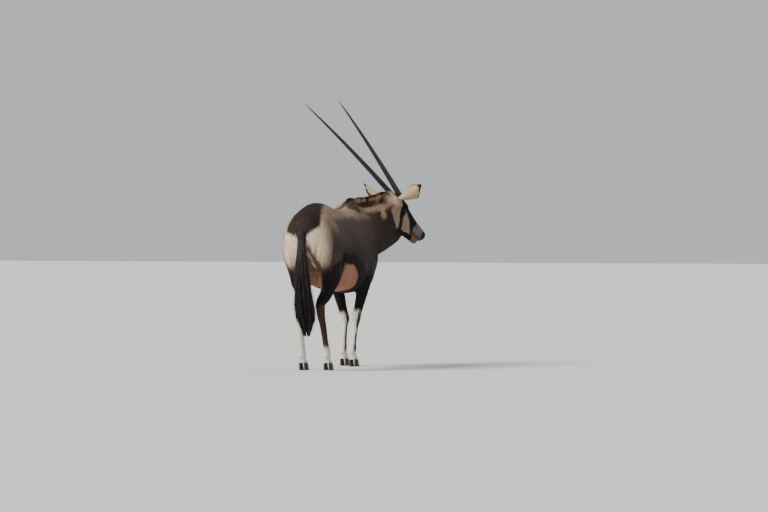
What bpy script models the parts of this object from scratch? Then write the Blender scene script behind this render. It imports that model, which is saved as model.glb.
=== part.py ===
"""A gemsbok at life size, standing still with its neck bent and its head turned to its right.

The animal faces -Y, its left side is +X and the ground is Z = 0. The flesh is modelled whole:
lofted trunk, neck, head and legs are fused into one smooth skin and parted by thin cuts into
torso, neck, head and legs. Horns, ears, eyes, hooves and tail are set on it afterwards.
"""

import math
import random

import bmesh
import bpy
import numpy as np
from mathutils import Matrix, Vector

# Driving dimensions, in metres
WITHERS_HEIGHT = 1.20
HORN_LENGTH = 0.987
HORN_BASE_DIAMETER = 0.040
HEAD_LENGTH = 0.435
EAR_LENGTH = 0.200
EAR_WIDTH = 0.092
EYE_DIAMETER = 0.038
HOOF_HEIGHT = 0.052
TAIL_TIP_HEIGHT = 0.215
MANE_LENGTH = 0.045

# The gap that neighbouring nodes keep
GAP = 0.0003

# How the head is held: turned to the right of the body, nose down, leaning to its left, and
# where its poll is
HEAD_TURN = math.radians(37.5)
HEAD_PITCH = math.radians(46.5)
HEAD_LEAN = math.radians(4)
POLL_FORWARD, POLL_LEFT, POLL_UP = 0.790, -0.181, 1.286

# Sizes of the voxels that fuse the flesh, and the triangles that are kept of it
BODY_VOXEL = 0.008
HEAD_VOXEL = 0.0032
BODY_TRIANGLES = 4850
HEAD_TRIANGLES = 2350

UP = Vector((0, 0, 1))
LEFT = Vector((1, 0, 0))


def at(forward, left, up):
    """A point as the animal would give it: forward of mid-stance, to its left, above the ground."""
    return Vector((left, -forward, up))


def head_frame():
    """The matrix that carries head coordinates into place: X to the head's left, Y towards the
    nose along the face, Z out of the forehead, with the poll at the origin."""
    heading = Vector((-math.sin(HEAD_TURN), -math.cos(HEAD_TURN), 0))
    nose = heading * math.cos(HEAD_PITCH) - UP * math.sin(HEAD_PITCH)
    side = UP.cross(heading).normalized()
    brow = nose.cross(side)
    lean = Matrix.Rotation(-HEAD_LEAN, 3, nose)
    side, brow = lean @ side, lean @ brow
    frame = Matrix((side, nose, brow)).transposed().to_4x4()
    frame.translation = at(POLL_FORWARD, POLL_LEFT, POLL_UP)
    return frame


HEAD = head_frame()


def on_head(side, along, out):
    return HEAD @ Vector((side, along, out))


# Shared tools


def clear_scene():
    for obj in list(bpy.data.objects):
        bpy.data.objects.remove(obj, do_unlink=True)
    for collection in list(bpy.data.collections):
        bpy.data.collections.remove(collection)


def collection_named(name):
    collection = bpy.data.collections.new(name)
    bpy.context.scene.collection.children.link(collection)
    return collection


def material(name, colour, roughness):
    made = bpy.data.materials.new(name)
    made.use_nodes = True
    shader = made.node_tree.nodes["Principled BSDF"]
    shader.inputs["Base Color"].default_value = (*colour, 1)
    shader.inputs["Roughness"].default_value = roughness
    shader.inputs["Metallic"].default_value = 0
    return made


def mesh_object(name, mesh):
    obj = bpy.data.objects.new(name, mesh)
    bpy.context.scene.collection.objects.link(obj)
    return obj


def face_out(shape):
    """Turns every face of a closed form outwards, also where a mirrored place turned them."""
    shape.normal_update()
    bmesh.ops.recalc_face_normals(shape, faces=shape.faces)
    if shape.calc_volume(signed=True) < 0:
        bmesh.ops.reverse_faces(shape, faces=shape.faces)


def from_bmesh(name, shape):
    face_out(shape)
    mesh = bpy.data.meshes.new(name)
    shape.to_mesh(mesh)
    shape.free()
    return mesh_object(name, mesh)


def applied(obj):
    """Bakes the object's modifiers and place into its mesh."""
    bpy.context.view_layer.update()
    graph = bpy.context.evaluated_depsgraph_get()
    mesh = bpy.data.meshes.new_from_object(obj.evaluated_get(graph))
    mesh.transform(obj.matrix_world)
    obj.modifiers.clear()
    obj.data = mesh
    obj.matrix_world = Matrix.Identity(4)
    return obj


def remove(obj):
    bpy.data.objects.remove(obj, do_unlink=True)


def faced_out(obj):
    shape = bmesh.new()
    shape.from_mesh(obj.data)
    face_out(shape)
    shape.to_mesh(obj.data)
    shape.free()
    return obj


def eased(rows, steps):
    """More rows, read from a smooth curve through the given rows of numbers."""
    rows = np.array(rows, float)
    ahead = np.vstack([2 * rows[0] - rows[1], rows, 2 * rows[-1] - rows[-2]])
    out = []
    for i in range(1, len(rows)):
        before, start, end, after = ahead[i - 1 : i + 3]
        for t in np.arange(steps) / steps:
            out.append(
                start
                + 0.5 * t * (end - before)
                + t**2 * (before - 2.5 * start + 2 * end - 0.5 * after)
                + t**3 * (1.5 * (start - end) + 0.5 * (after - before))
            )
    return np.array([*out, rows[-1]])


def station(centre, width, above, below=None, crown=1.0, keel=1.0):
    """One section of a loft: its centre, half width, half heights, and how pointed it is above
    and below (1 is an ellipse, more is sharper)."""
    return (*centre, width, above, above if below is None else below, crown, keel)


def ring_points(row, along, side, sides):
    """The corners of one section, square to the direction along."""
    centre, (width, above, below, crown, keel) = Vector(row[:3]), row[3:8]
    across = (side - along * side.dot(along)).normalized()
    over = along.cross(across)
    points = []
    for k in range(sides):
        angle = math.tau * (k + 0.5) / sides
        rise = math.cos(angle)
        height = above * rise**crown if rise > 0 else -below * abs(rise) ** keel
        points.append(centre + across * width * math.sin(angle) + over * height)
    return points


def loft(name, stations, side=None, sides=16, steps=4):
    """A closed body through stations. With no side given, sections stay upright."""
    rows = eased(stations, steps) if steps > 1 else np.array(stations, float)
    shape = bmesh.new()
    rings = []
    for i, row in enumerate(rows):
        ahead, behind = rows[min(i + 1, len(rows) - 1)], rows[max(i - 1, 0)]
        along = Vector(ahead[:3] - behind[:3]).normalized()
        across = UP.cross(along) if side is None else side
        ring = [shape.verts.new(p) for p in ring_points(row, along, across, sides)]
        rings.append(ring)
    for ring, following in zip(rings, rings[1:]):
        for k in range(sides):
            j = (k + 1) % sides
            shape.faces.new((ring[k], ring[j], following[j], following[k]))
    shape.faces.new(rings[0])
    shape.faces.new(rings[-1])
    return from_bmesh(name, shape)


def ellipsoid(name, centre, radii, turn=None):
    """A stretched sphere. Turn is a rotation matrix, or None for one square to the body."""
    shape = bmesh.new()
    bmesh.ops.create_uvsphere(shape, u_segments=14, v_segments=8, radius=1)
    shape.transform(Matrix.Diagonal((*radii, 1)))
    if turn is not None:
        shape.transform(turn.to_3x3().to_4x4())
    shape.transform(Matrix.Translation(centre))
    return from_bmesh(name, shape)


def head_ellipsoid(name, side, along, out, radii, tilt=0):
    """A stretched sphere given in head coordinates, tipped about the head's side axis."""
    turn = HEAD.to_3x3() @ Matrix.Rotation(tilt, 3, "X")
    return ellipsoid(name, on_head(side, along, out), radii, turn)


def joined(name, pieces):
    """One mesh object that holds the shells of all the pieces."""
    shape = bmesh.new()
    for piece in pieces:
        applied(piece)
        shape.from_mesh(piece.data)
        remove(piece)
    mesh = bpy.data.meshes.new(name)
    shape.to_mesh(mesh)
    shape.free()
    return mesh_object(name, mesh)


def weights_on(obj, name, weight_at):
    group = obj.vertex_groups.new(name=name)
    for vertex in obj.data.vertices:
        group.add([vertex.index], weight_at(vertex.co), "REPLACE")
    return group


def smoothstep(low, high, value):
    t = min(1, max(0, (value - low) / (high - low)))
    return t * t * (3 - 2 * t)


def fused(name, pieces, voxel, smoothing, rounds, triangles):
    """All the pieces as one smooth closed skin, thinned to about the given triangles."""
    obj = joined(name, pieces)
    remesh = obj.modifiers.new("Fuse", "REMESH")
    remesh.mode = "VOXEL"
    remesh.voxel_size = voxel
    applied(obj)
    weights_on(obj, "smoothing", smoothing)
    relax = obj.modifiers.new("Relax", "SMOOTH")
    relax.factor = 0.5
    relax.iterations = rounds
    relax.vertex_group = "smoothing"
    applied(obj)
    triangulate = obj.modifiers.new("Triangles", "TRIANGULATE")
    triangulate.min_vertices = 4
    applied(obj)
    thin = obj.modifiers.new("Thin", "DECIMATE")
    thin.ratio = min(1, triangles / len(obj.data.polygons))
    return keep_largest(applied(obj))


def keep_largest(obj):
    """Drops every closed surface of the mesh but the one with the most faces."""
    shape = bmesh.new()
    shape.from_mesh(obj.data)
    unseen, shells = set(shape.verts), []
    while unseen:
        shell, edge = set(), [unseen.pop()]
        while edge:
            vertex = edge.pop()
            shell.add(vertex)
            near = [e.other_vert(vertex) for e in vertex.link_edges]
            fresh = [v for v in near if v in unseen]
            unseen.difference_update(fresh)
            edge.extend(fresh)
        shells.append(shell)
    largest = max(shells, key=len)
    scraps = [v for v in shape.verts if v not in largest]
    bmesh.ops.delete(shape, geom=scraps, context="VERTS")
    shape.to_mesh(obj.data)
    shape.free()
    return obj


def boolean(obj, other, operation, solver="MANIFOLD"):
    cut = obj.modifiers.new(operation.title(), "BOOLEAN")
    cut.operation = operation
    cut.object = other
    cut.solver = solver
    return applied(obj)


def fattened(obj, by):
    """A copy of a closed mesh whose surface lies further out by the given depth."""
    copy = mesh_object(obj.name + "_fattened", obj.data.copy())
    shape = bmesh.new()
    shape.from_mesh(copy.data)
    shape.normal_update()
    offsets = {v: v.normal * by * v.calc_shell_factor() for v in shape.verts}
    for vertex, offset in offsets.items():
        vertex.co += offset
    shape.to_mesh(copy.data)
    shape.free()
    return copy


def cleared(obj, neighbour, gap=GAP):
    """Cuts the neighbour, and the gap around it, out of the object."""
    cutter = fattened(neighbour, gap)
    boolean(obj, cutter, "DIFFERENCE")
    remove(cutter)
    return keep_largest(obj)


def half_space(name, point, outward, size=1.2):
    """A big box with one face through point, that lies on the side away from outward."""
    shape = bmesh.new()
    bmesh.ops.create_cube(shape, size=size)
    shape.transform(Matrix.Translation((0, 0, -size / 2)))
    shape.transform(outward.to_track_quat("Z", "Y").to_matrix().to_4x4())
    shape.transform(Matrix.Translation(point))
    return from_bmesh(name, shape)


def parted(whole, name, cutter_for):
    """Splits whole with a thin cut. cutter_for(gap) is the region of the new node, grown by gap.
    Returns the new node, and leaves the rest in whole."""
    piece = mesh_object(name, whole.data.copy())
    region = cutter_for(0.0)
    boolean(piece, region, "INTERSECT")
    remove(region)
    grown = cutter_for(GAP)
    boolean(whole, grown, "DIFFERENCE")
    remove(grown)
    keep_largest(whole)
    return keep_largest(piece)


def union_of(core, pieces):
    """Fuses pieces to the core with one exact union and keeps its outer surface."""
    group = collection_named(core.name + "_pieces")
    for piece in pieces:
        applied(piece)
        bpy.context.scene.collection.objects.unlink(piece)
        group.objects.link(piece)
    union = core.modifiers.new("Union", "BOOLEAN")
    union.operation = "UNION"
    union.operand_type = "COLLECTION"
    union.collection = group
    union.solver = "MANIFOLD"
    applied(core)
    for piece in list(group.objects):
        remove(piece)
    bpy.data.collections.remove(group)
    return keep_largest(core)


# Trunk and neck


def trunk():
    """The barrel from the buttocks to the front of the chest, in upright sections."""
    # forward, top, widest, bottom, half width, crown, keel
    sections = [
        (-0.600, 1.010, 0.950, 0.890, 0.035, 1.0, 1.0),
        (-0.575, 1.080, 0.950, 0.830, 0.102, 1.0, 1.0),
        (-0.510, 1.155, 0.945, 0.740, 0.152, 1.0, 1.0),
        (-0.400, 1.202, 0.925, 0.660, 0.188, 1.1, 1.0),
        (-0.280, 1.199, 0.900, 0.605, 0.200, 1.15, 1.1),
        (-0.130, 1.167, 0.850, 0.572, 0.216, 1.05, 1.0),
        (0.030, 1.150, 0.820, 0.550, 0.228, 1.0, 0.9),
        (0.180, 1.166, 0.815, 0.540, 0.222, 1.05, 0.9),
        (0.310, 1.203, 0.820, 0.538, 0.190, 1.25, 0.95),
        (0.410, 1.216, 0.840, 0.560, 0.162, 1.4, 1.0),
        (0.500, 1.194, 0.860, 0.608, 0.147, 1.3, 1.0),
        (0.580, 1.085, 0.860, 0.695, 0.117, 1.0, 1.0),
        (0.625, 0.980, 0.860, 0.775, 0.067, 1.0, 1.0),
    ]
    scale = WITHERS_HEIGHT / 1.200
    stations = []
    for forward, top, widest, bottom, width, crown, keel in sections:
        centre = at(forward, 0, widest * scale)
        above, below = (top - widest) * scale, (widest - bottom) * scale
        stations.append(station(centre, width, above, below, crown, keel))
    return loft("trunk", stations, side=LEFT, sides=32)


def neck():
    """The neck, deep at the chest, bent to the right up to the back of the skull."""
    skull = on_head(0, 0.07, -0.100)
    stations = [
        station(at(0.36, 0.000, 0.930), 0.130, 0.235, 0.240),
        station(at(0.47, -0.012, 0.965), 0.140, 0.215, 0.230, 1.2),
        station(at(0.57, -0.055, 1.010), 0.134, 0.180, 0.222, 1.2),
        station(at(0.655, -0.108, 1.055), 0.120, 0.158, 0.220, 1.15),
        station(at(0.72, -0.150, 1.095), 0.104, 0.145, 0.205, 1.1),
        station(skull, 0.076, 0.100, 0.125),
    ]
    return loft("neck_core", stations, sides=24)


def shoulder(hand):
    """The flat muscle over the shoulder blade and upper arm. Hand is 1 on the left, -1 right."""
    stations = [
        station(at(0.370, 0.060 * hand, 1.110), 0.030, 0.060),
        station(at(0.385, 0.096 * hand, 1.010), 0.050, 0.110),
        station(at(0.420, 0.114 * hand, 0.900), 0.056, 0.130),
        station(at(0.435, 0.120 * hand, 0.800), 0.058, 0.130),
        station(at(0.395, 0.128 * hand, 0.700), 0.050, 0.095),
        station(at(0.370, 0.126 * hand, 0.620), 0.040, 0.070),
    ]
    return loft("shoulder", stations, side=LEFT, sides=16)


def thigh(hand):
    """The ham: broad from croup to buttock, running forward and down to the stifle."""
    stations = [
        station(at(-0.330, 0.070 * hand, 1.080), 0.050, 0.080, 0.110),
        station(at(-0.365, 0.098 * hand, 1.010), 0.084, 0.130, 0.170),
        station(at(-0.375, 0.116 * hand, 0.920), 0.096, 0.150, 0.190),
        station(at(-0.370, 0.116 * hand, 0.830), 0.092, 0.145, 0.190),
        station(at(-0.365, 0.112 * hand, 0.740), 0.078, 0.130, 0.170),
        station(at(-0.380, 0.108 * hand, 0.660), 0.062, 0.100, 0.125),
        station(at(-0.420, 0.104 * hand, 0.590), 0.044, 0.060, 0.075),
    ]
    return loft("thigh", stations, side=LEFT, sides=20)


# Legs


def foreleg(elbow, knee, fetlock, foot, name):
    """A foreleg from the elbow down to the coronet, through knee and fetlock."""
    upper = elbow + UP * 0.11 + at(0.03, 0, 0)
    mid_arm = elbow.lerp(knee, 0.42)
    cannon_top = knee.lerp(fetlock, 0.28)
    cannon_low = knee.lerp(fetlock, 0.75)
    pastern = fetlock.lerp(foot, 0.50)
    stations = [
        station(upper, 0.058, 0.095, 0.085),
        station(elbow, 0.052, 0.070, 0.072),
        station(mid_arm, 0.042, 0.050, 0.048),
        station(elbow.lerp(knee, 0.80), 0.032, 0.033, 0.032),
        station(knee, 0.0345, 0.036, 0.034),
        station(knee.lerp(fetlock, 0.10), 0.030, 0.030, 0.030),
        station(cannon_top, 0.0235, 0.023, 0.026),
        station(cannon_low, 0.0215, 0.022, 0.025),
        station(fetlock, 0.0265, 0.026, 0.030),
        station(pastern, 0.0225, 0.0215, 0.0215),
        station(foot, 0.0325, 0.035, 0.035),
        station(foot - UP * 0.03, 0.0325, 0.036, 0.036),
    ]
    return loft(name, stations, side=LEFT, sides=16)


def hindleg(stifle, hock, fetlock, foot, name):
    """A hind leg from the stifle down to the coronet, with the point of the hock behind."""
    hock_top = hock + UP * 0.035 + at(-0.010, 0, 0)
    stations = [
        station(stifle + UP * 0.10 + at(-0.05, 0, 0), 0.062, 0.110, 0.120),
        station(stifle, 0.060, 0.085, 0.130),
        station(stifle.lerp(hock, 0.30), 0.050, 0.066, 0.094),
        station(stifle.lerp(hock, 0.60), 0.040, 0.054, 0.064),
        station(hock_top, 0.031, 0.034, 0.046),
        station(hock, 0.032, 0.034, 0.040),
        station(hock - UP * 0.05 + at(0.008, 0, 0), 0.029, 0.028, 0.032),
        station(hock.lerp(fetlock, 0.38), 0.0245, 0.023, 0.028),
        station(hock.lerp(fetlock, 0.80), 0.0215, 0.022, 0.026),
        station(fetlock, 0.0255, 0.025, 0.030),
        station(fetlock.lerp(foot, 0.50), 0.0220, 0.0210, 0.0210),
        station(foot, 0.0315, 0.033, 0.033),
        station(foot - UP * 0.03, 0.0315, 0.034, 0.034),
    ]
    return loft(name, stations, side=LEFT, sides=16)


# Where each foot stands, as forward and left of mid-stance, and the joints above it
STANCE = {
    "leg_front_left": (0.465, 0.074),
    "leg_front_right": (0.335, -0.048),
    "leg_hind_left": (-0.440, 0.048),
    "leg_hind_right": (-0.400, -0.125),
}
FORE_JOINTS = {
    "leg_front_left": (at(0.370, 0.120, 0.670), at(0.460, 0.071, 0.350)),
    "leg_front_right": (at(0.330, -0.142, 0.670), at(0.338, -0.060, 0.350)),
}
HIND_JOINTS = {
    "leg_hind_left": (at(-0.320, 0.112, 0.690), at(-0.515, 0.052, 0.440)),
    "leg_hind_right": (at(-0.315, -0.132, 0.690), at(-0.505, -0.106, 0.440)),
}
FETLOCK_HEIGHT = 0.128
FETLOCK_BACK = 0.030


def leg_points(name):
    forward, left = STANCE[name]
    fetlock = at(forward - FETLOCK_BACK, left, FETLOCK_HEIGHT)
    foot = at(forward - 0.008, left, HOOF_HEIGHT)
    return fetlock, foot


def dewclaws(name):
    """The two small claws behind each fetlock."""
    fetlock, _ = leg_points(name)
    made = []
    for hand in (-1, 1):
        centre = fetlock + at(-0.026, 0.011 * hand, -0.022)
        made.append(ellipsoid("dewclaw", centre, (0.0075, 0.009, 0.014)))
    return made


def legs():
    made = []
    for name, (elbow, knee) in FORE_JOINTS.items():
        made.append(foreleg(elbow, knee, *leg_points(name), name))
    for name, (stifle, hock) in HIND_JOINTS.items():
        made.append(hindleg(stifle, hock, *leg_points(name), name))
    for name in STANCE:
        made.extend(dewclaws(name))
    return made


# Head

EYE_SIDE, EYE_ALONG, EYE_OUT = 0.0555, 0.138, -0.053
NOSTRIL_SIDE, NOSTRIL_ALONG, NOSTRIL_OUT = 0.021, 0.416, -0.036
HORN_SIDE, HORN_ALONG, HORN_OUT = 0.037, 0.075, 0.000

# Where each ear points and where its cup faces, in head coordinates: the right one is turned
# forward, the left one lies back
EAR_AIMS = {
    "left": ((0.700, -0.760, 0.250), (0.450, 0.220, -0.750)),
    "right": ((-0.764, -0.016, 0.645), (0.760, 0.460, 0.440)),
}


def skull():
    """The head's main mass from nape to nose, in sections along the face."""
    # along the face, brow line, widest, throat line, half width, crown, keel
    sections = [
        (-0.030, -0.050, -0.075, -0.105, 0.030, 1.0, 1.0),
        (-0.010, -0.022, -0.070, -0.130, 0.052, 0.9, 1.0),
        (0.030, -0.002, -0.060, -0.155, 0.062, 0.85, 1.0),
        (0.080, 0.010, -0.050, -0.172, 0.067, 0.85, 1.2),
        (0.130, 0.010, -0.050, -0.178, 0.066, 0.85, 1.4),
        (0.180, 0.002, -0.055, -0.168, 0.057, 0.85, 1.3),
        (0.240, -0.005, -0.058, -0.146, 0.046, 0.8, 1.1),
        (0.300, -0.011, -0.060, -0.126, 0.040, 0.8, 0.9),
        (0.350, -0.012, -0.060, -0.113, 0.039, 0.75, 0.8),
        (0.390, -0.015, -0.060, -0.106, 0.040, 0.7, 0.8),
        (0.418, -0.024, -0.060, -0.098, 0.035, 0.75, 0.8),
        (0.433, -0.040, -0.062, -0.084, 0.019, 0.9, 0.9),
    ]
    scale = HEAD_LENGTH / 0.433
    stations = []
    for along, brow, widest, throat, width, crown, keel in sections:
        centre = on_head(0, along * scale, widest)
        stations.append(station(centre, width, brow - widest, widest - throat, crown, keel))
    return loft("skull", stations, side=HEAD.to_3x3() @ LEFT, sides=28)


def jaw():
    """The lower jaw, from its deep angle to the chin."""
    stations = [
        station(on_head(0, 0.085, -0.140), 0.036, 0.030, 0.032),
        station(on_head(0, 0.130, -0.152), 0.040, 0.035, 0.042),
        station(on_head(0, 0.200, -0.150), 0.034, 0.030, 0.039),
        station(on_head(0, 0.280, -0.134), 0.027, 0.028, 0.043),
        station(on_head(0, 0.340, -0.123), 0.026, 0.027, 0.034),
        station(on_head(0, 0.385, -0.115), 0.025, 0.022, 0.032),
        station(on_head(0, 0.408, -0.110), 0.018, 0.016, 0.024),
    ]
    return loft("jaw", stations, side=HEAD.to_3x3() @ LEFT, sides=20)


def head_masses(hand):
    """The paired swellings of one side of the head. Hand is 1 on the left, -1 right."""
    return [
        head_ellipsoid("cheek", 0.040 * hand, 0.140, -0.115, (0.026, 0.068, 0.046), -0.15),
        head_ellipsoid("brow", 0.050 * hand, 0.128, -0.022, (0.021, 0.044, 0.019)),
        head_ellipsoid("cheekbone", 0.051 * hand, 0.152, -0.076, (0.018, 0.045, 0.014), 0.1),
        head_ellipsoid("horn_root", HORN_SIDE * hand, HORN_ALONG, -0.010, (0.032, 0.036, 0.020)),
        head_ellipsoid("ear_root", 0.058 * hand, 0.036, -0.060, (0.022, 0.030, 0.028)),
        head_ellipsoid("upper_lip", 0.018 * hand, 0.395, -0.080, (0.024, 0.028, 0.019)),
        head_ellipsoid("nostril_wing", 0.024 * hand, 0.407, -0.042, (0.015, 0.022, 0.019)),
    ]


def lids(hand):
    """A rolled rim that frames the almond opening of one eye."""
    centre = Vector((EYE_SIDE * hand, EYE_ALONG, EYE_OUT))
    half_length, half_height, roll = 0.0205, 0.0140, 0.0042
    stations = []
    count = 22
    for k in range(count + 1):
        angle = math.tau * k / count
        along = half_length * math.cos(angle)
        over = half_height * math.sin(angle) - 0.003 * math.cos(angle)
        side = 0.0150 - 0.0045 * math.cos(angle) ** 2
        point = centre + Vector((side * hand, along, over))
        stations.append(station(HEAD @ point, roll, roll))
    return loft("lid", stations, side=HEAD.to_3x3() @ LEFT, sides=8, steps=1)


def nostril(hand):
    """The comma-shaped hollow of one nostril, as a cutter."""
    turn = HEAD.to_3x3() @ Matrix.Rotation(0.55 * hand, 3, "Z") @ Matrix.Rotation(-0.5, 3, "X")
    centre = on_head(0.0325 * hand, 0.424, NOSTRIL_OUT)
    return ellipsoid("nostril", centre, (0.0085, 0.0145, 0.0062), turn)


def mouth():
    """The thin wedge that parts the lips, as a cutter."""
    stations = [
        station(on_head(0, 0.325, -0.1010), 0.060, 0.0016),
        station(on_head(0, 0.368, -0.0985), 0.060, 0.0022),
        station(on_head(0, 0.450, -0.0860), 0.060, 0.0030),
    ]
    return loft("mouth", stations, side=HEAD.to_3x3() @ LEFT, sides=8)


def eye(name, hand, look):
    """One eyeball, deep in its socket."""
    obj = ellipsoid(name, on_head(EYE_SIDE * hand, EYE_ALONG, EYE_OUT), (EYE_DIAMETER / 2,) * 3)
    obj.data.materials.append(look)
    return obj


def horn(name, hand, look):
    """A long, slim horn, ringed over its lower half and swept straight back with a slight bow."""
    base = Vector((HORN_SIDE * hand, HORN_ALONG, HORN_OUT))
    splay, bow = 0.176, 0.012
    reach = math.sqrt(HORN_LENGTH**2 - splay**2)
    tip = base + Vector((splay * hand, -reach, 0))
    ringed_share, rings, ring_height = 0.56, 12, 0.0017
    stations = []
    shares = [-0.03, *(k / (2 * rings) * ringed_share for k in range(2 * rings + 1))]
    shares += [ringed_share + (1 - ringed_share) * k / 5 for k in range(1, 6)]
    for k, share in enumerate(shares):
        point = base.lerp(tip, share)
        point.z += bow * 4 * max(share, 0) * (1 - share)
        radius = HORN_BASE_DIAMETER / 2 * (1 - max(share, 0)) ** 0.72 + 0.0012
        if 0 < share <= ringed_share:
            fade = 1 - 0.6 * share / ringed_share
            radius += ring_height * fade * (1 if k % 2 else -0.3)
        stations.append(station(HEAD @ point, radius * 0.94, radius * 1.06))
    obj = loft(name, stations, side=HEAD.to_3x3() @ LEFT, sides=10, steps=1)
    obj.data.materials.append(look)
    return obj


def ear_surface(length, width):
    """The open sheet of an ear in its own frame: Y along the ear, Z out of its back."""
    rows, columns = 10, 7
    shape = bmesh.new()
    grid = []
    for i in range(rows):
        share = i / (rows - 1)
        leaf = math.sin(math.pi * min(1, share * 0.90 + 0.10) ** 1.15) ** 0.62
        leaf *= 1 - 0.45 * smoothstep(0.62, 0.95, share)
        half = max(width / 2 * leaf, 0.019 * (1 - share) ** 0.5 if share < 0.6 else 0.0015)
        curl = 2.75 * (1 - share) ** 1.6 + 1.05 * (1 - 0.45 * share)
        line = []
        for j in range(columns):
            across = 2 * j / (columns - 1) - 1
            bend = curl * across
            radius = 2 * half / max(curl, 0.6) / 1.35
            drop = radius * (1 - math.cos(bend))
            line.append(
                shape.verts.new(
                    (radius * math.sin(bend), length * share, -drop - 0.10 * length * share**2)
                )
            )
        grid.append(line)
    for lower, upper in zip(grid, grid[1:]):
        for j in range(columns - 1):
            shape.faces.new((lower[j], lower[j + 1], upper[j + 1], upper[j]))
    return shape


def ear(name, hand, direction, opening, look):
    """One cupped ear. Direction is where it points and opening is where its cup faces, both
    in head coordinates."""
    obj = from_bmesh(name, ear_surface(EAR_LENGTH, EAR_WIDTH))
    wall = obj.modifiers.new("Wall", "SOLIDIFY")
    wall.thickness = 0.0042
    wall.offset = 0
    along = Vector(direction).normalized()
    back = -(Vector(opening) - along * Vector(opening).dot(along)).normalized()
    across = along.cross(back)
    frame = Matrix((across, along, back)).transposed().to_4x4()
    frame.translation = Vector((0.064 * hand, 0.038, -0.062)) + along * 0.010
    obj.matrix_world = HEAD @ frame
    faced_out(applied(obj))
    turn = HEAD.to_3x3() @ frame.to_3x3()
    root = ellipsoid("root", HEAD @ frame @ Vector((0, 0.015, -0.012)), (0.0185, 0.034, 0.0175), turn)
    union_of(obj, [root])
    obj.data.materials.append(look)
    return obj


# Locks of long hair


def lock(points, width, thickness, facing):
    """A flat lock along points, widest a third of the way and drawn out to a fine tip. Facing
    is the direction its flat side looks."""
    rows = len(points)
    stations = []
    for k, point in enumerate(points):
        share = k / (rows - 1)
        full = max(math.sin(math.pi * (0.22 + 0.78 * share)), 0.05) ** 0.75
        stations.append(station(point, width / 2 * full, thickness / 2 * full))
    side = facing.cross(points[-1] - points[0]).normalized()
    return loft("lock", stations, side=side, sides=4, steps=1)


def tail_path(share):
    """A point of the tail's middle line, from its root on the rump, 0, to its end, 1."""
    root_forward, root_up = -0.555, 1.010
    swing = 0.085 * (1 - math.exp(-6.0 * share)) + 0.015 * share
    lean = 0.010 - 0.056 * share
    drop = (root_up - TAIL_TIP_HEIGHT) * (share - 0.040 * (1 - math.exp(-8 * share)))
    return at(root_forward - swing, lean, root_up - drop)


def tail(look):
    """The tail: a slim dock that carries a brush of long locks, in tiers from a third of the
    way down. Each lock swells out from the dock, hangs and ends in a point."""
    draw = random.Random(6)
    stations = []
    # share of the length, half width
    for share, half in [(0, 0.050), (0.06, 0.040), (0.15, 0.029), (0.30, 0.026), (0.55, 0.018), (0.74, 0.009)]:
        stations.append(station(tail_path(share), half, half * 0.85))
    core = loft("tail", stations, side=LEFT, sides=12, steps=3)
    tiers, around, rows = 5, 5, 5
    locks = []
    for tier in range(tiers):
        share = 0.20 + 0.46 * tier / (tiers - 1)
        length = (0.27 + 0.12 * math.sin(math.pi * tier / (tiers - 1))) * (1 if tier else 0.8)
        for k in range(around):
            angle = math.tau * (k + 0.5 * (tier % 2) + draw.uniform(-0.12, 0.12)) / around
            out = Vector((math.cos(angle), math.sin(angle), 0))
            reach = length * draw.uniform(0.88, 1.08)
            end = min(share + reach / (1.010 - TAIL_TIP_HEIGHT), 1.0 - draw.uniform(0, 0.05))
            swell = 0.016 + 0.050 * smoothstep(0.2, 0.8, (share + end) / 2)
            points = []
            for i in range(rows):
                t = i / (rows - 1)
                spread = 0.006 + swell * math.sin(math.pi * 0.78 * t**0.8) * draw.uniform(0.92, 1.08)
                points.append(tail_path(share + (end - share) * t) + out * spread)
            locks.append(lock(points, 0.048 + 0.030 * share, 0.013, out))
    union_of(core, locks)
    core.data.materials.append(look)
    return core


# The line along which the mane grows, from behind the withers to the poll: forward, left,
# height of its roots, and the share of its full length that it has there
MANE_LINE = [
    (0.290, 0.000, 1.184, 0.30),
    (0.350, 0.000, 1.196, 0.50),
    (0.420, 0.000, 1.197, 0.75),
    (0.500, -0.020, 1.190, 0.95),
    (0.580, -0.070, 1.195, 1.00),
    (0.660, -0.125, 1.220, 1.00),
    (0.735, -0.165, 1.258, 0.85),
]


def mane():
    """The upright mane: a low core along the crest, and on each side of it a rank of wide flat
    locks that lean backward and overlap like tiles."""
    draw = random.Random(11)
    core = []
    for forward, left, root, share in MANE_LINE:
        core.append(station(at(forward, left, root), 0.013, MANE_LENGTH * share * 0.45, 0.025))
    made = [loft("mane_core", core, sides=8, steps=2)]
    rows = eased(MANE_LINE, 3)
    for k, (row, following) in enumerate(zip(rows, rows[1:])):
        forward = (at(*following[:3]) - at(*row[:3])).normalized()
        across = forward.cross(UP).normalized()
        for rank in (-1, 1):
            place = row + (following - row) * (0.25 + 0.25 * rank)
            length = MANE_LENGTH * place[3] * draw.uniform(0.90, 1.15)
            root = at(*place[:3]) + across * rank * 0.007 - UP * 0.014
            lean = (UP + across * rank * draw.uniform(0.05, 0.28)).normalized()
            points = []
            for t in (0, 0.45, 0.80, 1):
                rise = (length + 0.014) * t
                points.append(root + lean * rise - forward * (0.012 + length * 0.75) * t**1.4)
            made.append(lock(points, 0.072, 0.015, across))
    return made


# Hooves


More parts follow.
